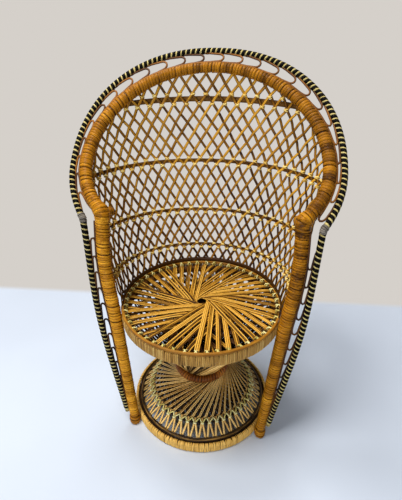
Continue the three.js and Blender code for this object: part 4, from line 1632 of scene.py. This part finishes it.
def twine_stitches(sizes, head, foot, rng):
    """Zigzag stitches round the skirt, knotted where its strands cross."""
    down = foot - head
    middle = head + down * sizes.twine_share
    down.normalize()
    square = Vector((-down.y, down.x))
    work = Work()
    for column in range(sizes.columns):
        tint = rng.uniform(0.5, 1.2)
        spots = []
        for step, away, lift in STITCH:
            turn = TAU * (column + step + rng.uniform(-0.03, 0.03)) / sizes.columns
            place = middle + down * away + square * lift
            spots.append(round_axis(turn, place.x, place.y))
        for ends, shade in ((spots[:3], tint - STITCH_SHADE), (spots[2:], tint)):
            work.strand(
                Line(ends, UP), width=0.0019, thickness=0.0015, tint=shade, steps=3, sides=5)
        out = outward(TAU * column / sizes.columns)
        side = out.cross(UP) * KNOT_REACH
        knot = Line([spots[2] - side, spots[2], spots[2] + side], out)
        work.strand(knot, width=0.0026, thickness=0.0026, tint=tint + 0.6, steps=2)
    work.piece("skirt_stitches", finish("yellow_twine"), "pale_twine", "skirt_twine")


class CHAIR_OT_pedestal(bpy.types.Operator):
    """Weaves the hourglass pedestal, winds its waist and stitches the twine round the skirt"""

    bl_idname = "chair.pedestal"
    bl_label = "Pedestal"

    def execute(self, context):
        sizes = settings("pedestal")
        rng = random.Random(SEED + 4)
        waist, middle = sizes.waist_radius, node_box("waist_ring")[2].z
        head = Vector((waist + SKIRT_HEAD[0], middle + SKIRT_HEAD[1]))
        foot = Vector((node_radius("base_rim_band") + SKIRT_FOOT[0], SKIRT_FOOT[1]))
        twine = head.lerp(foot, sizes.twine_share)
        tucked = head.lerp(foot, sizes.twine_share - sizes.tuck_share)
        work = Work()
        cone_strands(work, rng, head, twine, sizes.skirt_twist, **SKIRT_UNDER)
        cone_strands(work, rng, head, tucked, sizes.skirt_twist, **SKIRT_OVER)
        zigzag(work, sizes, twine, foot, rng)
        hold_rows(work, twine, foot)
        pedestal_weave(work, "skirt")
        low = Vector((waist + UPPER_FOOT[0], middle + UPPER_FOOT[1]))
        high = Vector((SEAT_RADIUS + UPPER_HEAD[0], UPPER_HEAD[1]))
        work = Work()
        cone_strands(work, rng, low, high, sizes.upper_twist, **UPPER_UNDER)
        cone_strands(work, rng, low, high, sizes.upper_twist, **UPPER_OVER)
        pedestal_weave(work, "upper")
        waist_winding(sizes, waist, middle)
        twine_stitches(sizes, head, foot, rng)
        return {"FINISHED"}


class CHAIR_OT_base_rim(bpy.types.Operator):
    """Covers the base ring in upright strips"""

    bl_idname = "chair.base_rim"
    bl_label = "Base Rim"

    def execute(self, context):
        strips, rng = settings("pedestal").base_strips, random.Random(SEED + 5)
        rim_strips("base_rim_strips", "base_rim_cane", "base_rim_band", strips, rng)
        return {"FINISHED"}


CAMERA_PLACE = (0.0431, -0.3673, 0.4031)
CAMERA_TURN = (62.24, 0.0, 7.05)
CAMERA_LENS = 27.36

# Floor: share of its colour in the clouds, seam to the backdrop, and where its lit part fades out

FLOOR_CLOUD = 0.92
SEAM_DEPTH = 0.2065
SEAM_SLANT = -0.0405
SEAM_NEAR = 0.006
SEAM_FAR = 0.012
LIT_FLOOR_REACH = (0.45, 1.0)

# Lamps: name, place, target, size, power and colour

LAMPS = (
    ("key", (-0.36, -0.22, 1.45), (0, 0, 0.2), 0.55, 16.0, (1.0, 0.97, 0.92)),
    ("fill", (-0.25, -1.3, 0.36), (0, 0, 0.12), 0.5, 7.5, (0.92, 0.96, 1.0)),
    ("back", (-0.3, 0.35, 1.4), (0, 0, 0.2), 0.4, 7.0, (1.0, 0.98, 0.95)))


def add_floor(scene, colours):
    sheet = bmesh.new()
    bmesh.ops.create_grid(sheet, x_segments=2, y_segments=2, size=30.0)
    mesh = bpy.data.meshes.new("floor")
    sheet.to_mesh(mesh)
    sheet.free()
    floor = bpy.data.objects.new("floor", mesh)
    scene.collection.objects.link(floor)
    mesh.materials.append(floor_finish(colours))


def floor_finish(colours):
    """Floor with faint clouds, turning to backdrop at the seam and to plain colour far away."""
    material = bpy.data.materials.new("pale_floor")
    material.use_nodes = True
    nodes = Nodes(material.node_tree)
    place = nodes.add("TexCoord").outputs["Object"]
    parts = nodes.add("SeparateXYZ", {0: place}).outputs
    depth = nodes.math("ADD", parts["Y"], nodes.math("MULTIPLY", parts["X"], SEAM_SLANT))
    wall = nodes.span(depth, SEAM_DEPTH - SEAM_NEAR, SEAM_DEPTH + SEAM_FAR)
    cloud = nodes.span(nodes.noise(place, scale=3.0, detail=3.0), 0.3, 0.7)
    clouded = (*(FLOOR_CLOUD * value for value in colours.floor), 1.0)
    ground = nodes.mix(cloud, (*colours.floor, 1.0), clouded)
    tone = nodes.mix(wall, ground, (*colours.wall, 1.0))
    shader = material.node_tree.nodes["Principled BSDF"]
    nodes.give(shader.inputs["Base Color"], tone)
    nodes.give(shader.inputs["Roughness"], 0.9)
    nodes.give(shader.inputs["Specular IOR Level"], 0.0)
    glow = nodes.add("Emission", {"Color": tone}).outputs[0]
    away = nodes.add("VectorMath", {0: place}, operation="LENGTH").outputs["Value"]
    plain = nodes.math("MAXIMUM", wall, nodes.span(away, *LIT_FLOOR_REACH))
    share = nodes.math("MULTIPLY", plain, nodes.seen_rays())
    surface = material.node_tree.nodes["Material Output"].inputs["Surface"]
    nodes.give(surface, nodes.mix_shaders(share, shader.outputs[0], glow))
    return material


def add_world(scene, colours):
    """Pale light from all round that shows as the backdrop's colour."""
    world = bpy.data.worlds.new("studio")
    scene.world = world
    world.use_nodes = True
    nodes = Nodes(world.node_tree)
    sky = world.node_tree.nodes["Background"]
    nodes.give(sky.inputs["Color"], (0.95, 0.97, 1.0, 1.0))
    nodes.give(sky.inputs["Strength"], 0.16)
    seen = nodes.add("Background", {"Color": (*colours.wall, 1.0), "Strength": 1.0})
    mixed = nodes.mix_shaders(nodes.seen_rays(), sky.outputs[0], seen.outputs[0])
    nodes.give(world.node_tree.nodes["World Output"].inputs["Surface"], mixed)


def add_lamp(scene, name, place, target, size, power, tone):
    light = bpy.data.lights.new(name, "AREA")
    light.shape = "DISK"
    light.size = size
    light.energy = power
    light.color = tone
    lamp = bpy.data.objects.new(name, light)
    lamp.location = place
    lamp.rotation_euler = (Vector(target) - Vector(place)).to_track_quat("-Z", "Y").to_euler()
    scene.collection.objects.link(lamp)


class CHAIR_OT_stage(bpy.types.Operator):
    """Sets out the floor, the soft lights and the camera"""

    bl_idname = "chair.stage"
    bl_label = "Stage"

    def execute(self, context):
        scene = context.scene
        colours = settings("colours")
        scene.view_settings.view_transform = "Standard"
        add_floor(scene, colours)
        add_world(scene, colours)
        for lamp in LAMPS:
            add_lamp(scene, *lamp)
        data = bpy.data.cameras.new("camera")
        data.sensor_width = 36.0
        data.lens = CAMERA_LENS
        data.clip_start = 0.01
        camera = bpy.data.objects.new("camera", data)
        camera.location = CAMERA_PLACE
        camera.rotation_euler = [math.radians(turn) for turn in CAMERA_TURN]
        scene.collection.objects.link(camera)
        scene.camera = camera
        return {"FINISHED"}


GROUPS = (
    ("chair_frame", FrameSizes), ("chair_trim", TrimSizes), ("chair_back", BackSizes),
    ("chair_seat", SeatSizes), ("chair_pedestal", PedestalSizes), ("chair_colours", CaneColours))
OPERATORS = (
    CHAIR_OT_stage, CHAIR_OT_poles, CHAIR_OT_binding, CHAIR_OT_knuckles, CHAIR_OT_feet,
    CHAIR_OT_trim, CHAIR_OT_edging, CHAIR_OT_lattice, CHAIR_OT_bands, CHAIR_OT_seat,
    CHAIR_OT_seat_rim, CHAIR_OT_pedestal, CHAIR_OT_base_rim)


class CHAIR_PT_panel(bpy.types.Panel):
    """Lists the chair's settings and the steps that make it"""

    bl_idname = "CHAIR_PT_panel"
    bl_label = "Peacock Chair"
    bl_space_type = "VIEW_3D"
    bl_region_type = "UI"
    bl_category = "Chair"

    def draw(self, context):
        for operator in OPERATORS:
            self.layout.operator(operator.bl_idname)
        for name, group in GROUPS:
            box = self.layout.box()
            box.label(text=group.__doc__)
            for setting in group.__annotations__:
                box.prop(getattr(context.scene, name), setting)


def register():
    for name, group in GROUPS:
        bpy.utils.register_class(group)
        setattr(bpy.types.Scene, name, PointerProperty(type=group))
    for cls in (*OPERATORS, CHAIR_PT_panel):
        bpy.utils.register_class(cls)


def unregister():
    for cls in (CHAIR_PT_panel, *reversed(OPERATORS)):
        bpy.utils.unregister_class(cls)
    for name, group in reversed(GROUPS):
        delattr(bpy.types.Scene, name)
        bpy.utils.unregister_class(group)


def main():
    register()
    for operator in OPERATORS:
        family, name = operator.bl_idname.split(".")
        getattr(getattr(bpy.ops, family), name)()


if __name__ == "__main__":
    main()
